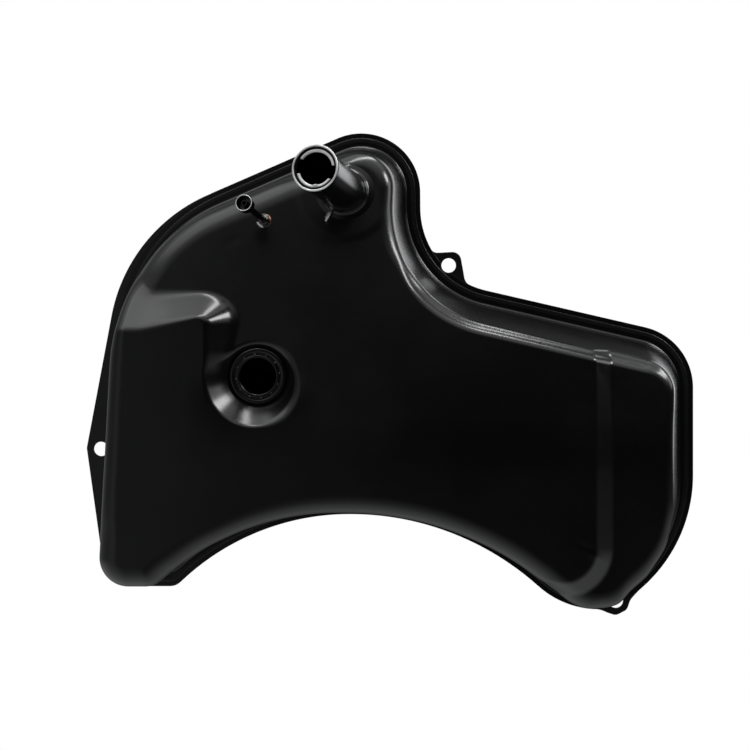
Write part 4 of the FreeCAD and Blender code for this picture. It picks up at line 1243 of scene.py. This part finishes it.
def brazed(name):
    """Copper-coloured filler that has run out of a joint, half painted over."""
    m = Material(name)
    flow = m.noise(scale=160.0, rough=0.55)
    grain = m.noise(scale=700.0, detail=2.0)
    paint = m.span(m.noise(scale=300.0, detail=2.0), over=(0.50, 0.62), to=(0.0, 0.8))
    color = m.mix(m.span(flow, over=(0.38, 0.62), to=(0.0, 1.0)),
                  (0.48, 0.25, 0.17), (0.30, 0.17, 0.12))
    color = m.mix(paint, color, (0.02, 0.02, 0.02))
    normal = m.bump(grain, distance=0.00005, strength=0.5)
    normal = m.bump(flow, distance=0.0002, strength=0.6, under=normal)
    return m.finish(color, m.span(grain, over=(0.3, 0.75), to=(0.26, 0.45)), normal,
                    metallic=0.85)


def raw_steel(name):
    """Bare sheet with streaks of varying tone."""
    m = Material(name)
    streaks = m.noise(scale=30.0, detail=4.0, rough=0.6, stretch=(1.0, 1.0, 9.0))
    grain = m.noise(scale=1000.0, detail=2.0)
    color = m.mix(m.span(streaks, over=(0.3, 0.72), to=(0.0, 1.0)),
                  (0.42, 0.41, 0.39), (0.28, 0.265, 0.25))
    return m.finish(color, m.span(streaks, over=(0.3, 0.8), to=(0.32, 0.5)),
                    m.bump(grain, distance=0.00003, strength=0.5), metallic=0.95)


def gauze(name):
    """Brass-coloured wires woven along x and y, with painted shade in the gaps between the wires.
    """
    m = Material(name)
    wires = [m.add("TexWave", {"Scale": 420.0, "Vector": m.place},
                   bands_direction=direction).outputs["Fac"] for direction in ("X", "Y")]
    weave = m.maths("MAXIMUM", *wires)
    # painted shade: near black where neither wire lies, for the dark open gaps of the weave
    color = m.mix(m.span(weave, over=(0.4, 0.8), to=(0.0, 1.0)),
                  (0.03, 0.03, 0.03), (0.62, 0.55, 0.38))
    return m.finish(color, rough=0.4, normal=m.bump(weave, distance=0.0002, strength=0.8),
                    metallic=0.8)


def lips_plate(name):
    """Dull bright plating, finely scuffed."""
    m = Material(name)
    scuffs = m.noise(scale=500.0, rough=0.6)
    cloud = m.noise(scale=60.0, rough=0.6)
    color = m.mix(m.span(cloud, over=(0.4, 0.75), to=(0.0, 1.0)),
                  (0.88, 0.88, 0.87), (0.66, 0.66, 0.64))
    return m.finish(color, m.span(scuffs, over=(0.3, 0.8), to=(0.28, 0.45)),
                    m.bump(scuffs, distance=0.00003, strength=0.5), metallic=0.35)


PAINT = satin_paint("satin_black_paint")
PAINT_FLANGE = satin_paint("satin_black_seam", tone=0.004, rough=(0.28, 0.36), peel=1.6)
PAINT_TUBE = satin_paint("satin_black_tube", tone=0.003, rough=(0.17, 0.22), peel=0.5,
                         dusty=0.05)
PAINT_BACK = satin_paint("satin_black_reverse", tone=0.005, rough=(0.24, 0.32), peel=1.2,
                         dusty=0.3)
ZINC = zinc("bright_zinc_plate")
PHOSPHATE = phosphate("phosphated_steel")
BRAZE = brazed("copper_braze")
STEEL = raw_steel("bare_sheet_steel")
GAUZE = gauze("woven_gauze")
PLATE = lips_plate("scuffed_bright_plate")


def dress(ob, *materials):
    ob.data.materials.clear()
    for material in materials:
        ob.data.materials.append(material)


def dress_by_place(ob, origin, axis, choose, *materials):
    """choose(radius, along, angle in degrees), about an axis, gives each face's material."""
    across_x, across_z, axis = axis_frame(axis)
    dress(ob, *materials)
    centres = np.zeros(len(ob.data.polygons) * 3)
    ob.data.polygons.foreach_get("center", centres)
    offset = centres.reshape(-1, 3) / MM - origin
    x, z = offset @ across_x, offset @ across_z
    chosen = choose(np.hypot(x, z), offset @ axis, np.degrees(np.arctan2(z, x)))
    ob.data.polygons.foreach_set("material_index", chosen.astype(int))
    ob.data.update()


def mouth_material(radius, along, angle):
    """Plate shows on the crest of the rolled rim and on the lips."""
    return ((along > 2.75) & (radius > 19.9)) | ((radius < 17.75) & (along > -0.15))


def cup_material(radius, along, angle):
    """Plate shows on the lip."""
    return (along > cup_lip - 0.5) & (radius > 6.8)


def boss_material(radius, along, angle):
    """Braze shows on one side of the foot, plate on another."""
    outer = radius > 5.4
    return np.where(outer & (angle > -35) & (angle < 62), 1,
                    np.where(outer & (angle < -95) & (angle > -165), 2, 0))


for ob, material in ((front, PAINT), (back, PAINT_BACK), (neck, PAINT_TUBE),
                     (collar, PAINT_TUBE), (pipe, PAINT_TUBE), (ring, PAINT_TUBE),
                     (pips, PHOSPHATE), (weld, PAINT_FLANGE), (blade, PLATE)):
    dress(ob, material)
dress_by_place(mouth, NECK_TIP, NECK_AXIS, mouth_material, PAINT_TUBE, PLATE)
dress_by_place(cup, VENT_TIP, VENT_AXIS, cup_material, PAINT_TUBE, PLATE)
dress_by_place(boss, VENT_TIP, VENT_AXIS, boss_material, PAINT_TUBE, BRAZE, PLATE)

# CAD pieces that keep their own meshes
for name, material in (("ear_doublers", PAINT_BACK), ("vent_inner_tube", STEEL),
                       ("hose_clip", ZINC), ("outlet_boss", BRAZE), ("outlet_strainer", GAUZE),
                       ("drain_boss", BRAZE), ("anti_surge_baffle", STEEL)):
    node = NODES[name]
    if not node.material_slots:
        node.data.materials.append(material)
    for slot in node.material_slots:
        slot.material = material


# =====================================================================
# Stage, light and camera, metres
# =====================================================================
def build_world():
    """White to the camera. Reflections see a room: bright paper behind and below, darker on the
    camera's side, a strip behind on the right, a little light from the left."""
    world = bpy.data.worlds.new("studio")
    SCENE.world = world
    world.use_nodes = True
    w = Nodes(world.node_tree)
    direction = w.add("SeparateXYZ", {0: w.add("TexCoord").outputs["Generated"]}).outputs
    x, y, z = direction[0], direction[1], direction[2]

    strip = w.maths("MULTIPLY", w.span(y, over=(0.50, 0.62), to=(0.0, 1.0)),
                    w.span(z, over=(-0.16, -0.04), to=(0.0, 1.0)))
    strip = w.maths("MULTIPLY", w.span(x, over=(0.28, 0.40), to=(0.0, 2.0)), strip)
    behind = w.maths("MAXIMUM", w.span(y, over=(-0.05, 0.35), to=(0.0, 0.075)), strip)
    below = w.maths("MULTIPLY", w.span(z, over=(-0.50, -0.04), to=(1.0, 0.0)),
                    w.span(y, over=(-0.97, -0.15), to=(0.10, 0.64)))
    below = w.maths("MULTIPLY", below, w.span(y, over=(0.25, 0.95), to=(1.0, 0.12)))
    above = w.maths("MULTIPLY", w.span(z, over=(0.32, 0.97), to=(0.0, 1.0)),
                    w.span(y, over=(0.15, 0.60), to=(1.1, 0.03)))
    left = w.maths("MULTIPLY", w.span(x, over=(-0.50, 0.02), to=(0.34, 0.004)),
                   w.span(y, over=(-0.4, -0.9), to=(0.5, 1.0)))
    brightest = w.maths("MAXIMUM", w.maths("MAXIMUM", behind, below), above)

    room = w.tree.nodes["Background"]
    w.feed(room.inputs["Strength"], w.maths("ADD", brightest, left))
    w.feed(room.inputs["Color"], (0.97, 0.985, 1.0))
    white = w.add("Background", {"Color": (1.0, 1.0, 1.0), "Strength": 1.0})
    shown = w.add("MixShader", {"Fac": w.add("LightPath").outputs["Is Camera Ray"],
                                1: room.outputs[0], 2: white.outputs[0]})
    w.feed(w.tree.nodes["World Output"].inputs["Surface"], shown.outputs[0])


def studio_paper():
    """Pale paper that shows pure white to the camera."""
    material = bpy.data.materials.new("studio_paper")
    material.use_nodes = True
    p = Nodes(material.node_tree)
    paper = p.tree.nodes["Principled BSDF"]
    tone = p.add("MapRange", {"Value": p.add("TexNoise", {"Scale": 3.0}).outputs["Fac"],
                              "To Min": 0.78, "To Max": 0.82})
    p.feed(paper.inputs["Base Color"], tone.outputs["Result"])
    p.feed(paper.inputs["Roughness"], 0.9)
    white = p.add("Emission", {"Strength": 1.0})
    shown = p.add("MixShader", {"Fac": p.add("LightPath").outputs["Is Camera Ray"],
                                1: paper.outputs[0], 2: white.outputs[0]})
    p.feed(p.tree.nodes["Material Output"].inputs["Surface"], shown.outputs[0])
    return material


def stage_sweep():
    """Floor that curves up into the backdrop. Only the camera sees it."""
    front_y, back_y, floor_z, top_z, radius = -2.6, 1.6, -0.62, 2.6, 0.7
    half_width, columns, arc_steps = 2.8, 15, 12
    profile = [(front_y, floor_z), (back_y - radius, floor_z)]
    for k in range(1, arc_steps + 1):
        angle = math.radians(90 * k / arc_steps)
        profile.append((back_y - radius + radius * math.sin(angle),
                        floor_z + radius - radius * math.cos(angle)))
    profile.append((back_y, top_z))
    points = [(x, y, z) for x in np.linspace(-half_width, half_width, columns)
              for y, z in profile]
    rows = len(profile)
    faces = [(i * rows + j, (i + 1) * rows + j, (i + 1) * rows + j + 1, i * rows + j + 1)
             for i in range(columns - 1) for j in range(rows - 1)]
    mesh = bpy.data.meshes.new("studio_sweep")
    mesh.from_pydata(points, [], faces)
    mesh.polygons.foreach_set("use_smooth", [True] * len(mesh.polygons))
    ob = bpy.data.objects.new("studio_sweep", mesh)
    SCENE.collection.objects.link(ob)
    mesh.materials.append(studio_paper())
    ob.visible_glossy = False
    ob.visible_diffuse = False
    ob.visible_shadow = False


PANEL_TARGET = Vector((-0.05, -0.06, -0.1))
# name, place, (width, length), radiance
PANELS = [
    ("overhead_broad", (-0.05, 0.05, 1.30), (2.0, 0.7), 0.35),
    ("overhead_core", (0.02, -0.12, 1.20), (1.19, 0.15), 13.0),
    ("overhead_left", (-0.82, -0.55, 1.13), (0.8, 0.9), 1.1),
    ("upper_right", (1.05, -0.25, 0.86), (0.40, 0.40), 16.0),
    ("right_high", (1.5, -0.05, 0.55), (0.6, 0.6), 2.6)]


def add_panel(name, place, size, radiance):
    light = bpy.data.lights.new(name, "AREA")
    light.shape = "RECTANGLE"
    light.size, light.size_y = size
    light.energy = radiance * math.pi * size[0] * size[1]
    light.spread = math.radians(180.0)
    ob = bpy.data.objects.new(name, light)
    SCENE.collection.objects.link(ob)
    ob.location = place
    ob.rotation_euler = (Vector(place) - PANEL_TARGET).to_track_quat("Z", "Y").to_euler()


def add_camera():
    """Looks straight along +Y; the frame is shifted rather than the camera turned."""
    camera = bpy.data.objects.new("photo_camera", bpy.data.cameras.new("photo_camera"))
    SCENE.collection.objects.link(camera)
    camera.location = (-0.0187, -1.45, -0.0246)
    camera.rotation_euler = (math.pi / 2, 0.0, 0.0)
    camera.data.sensor_width = 36.0
    camera.data.lens = 69.6
    camera.data.shift_x = -0.0733
    camera.data.shift_y = -0.1133
    SCENE.camera = camera


build_world()
stage_sweep()
for panel in PANELS:
    add_panel(*panel)
add_camera()
SCENE.view_settings.view_transform = "Standard"

bpy.context.view_layer.update()
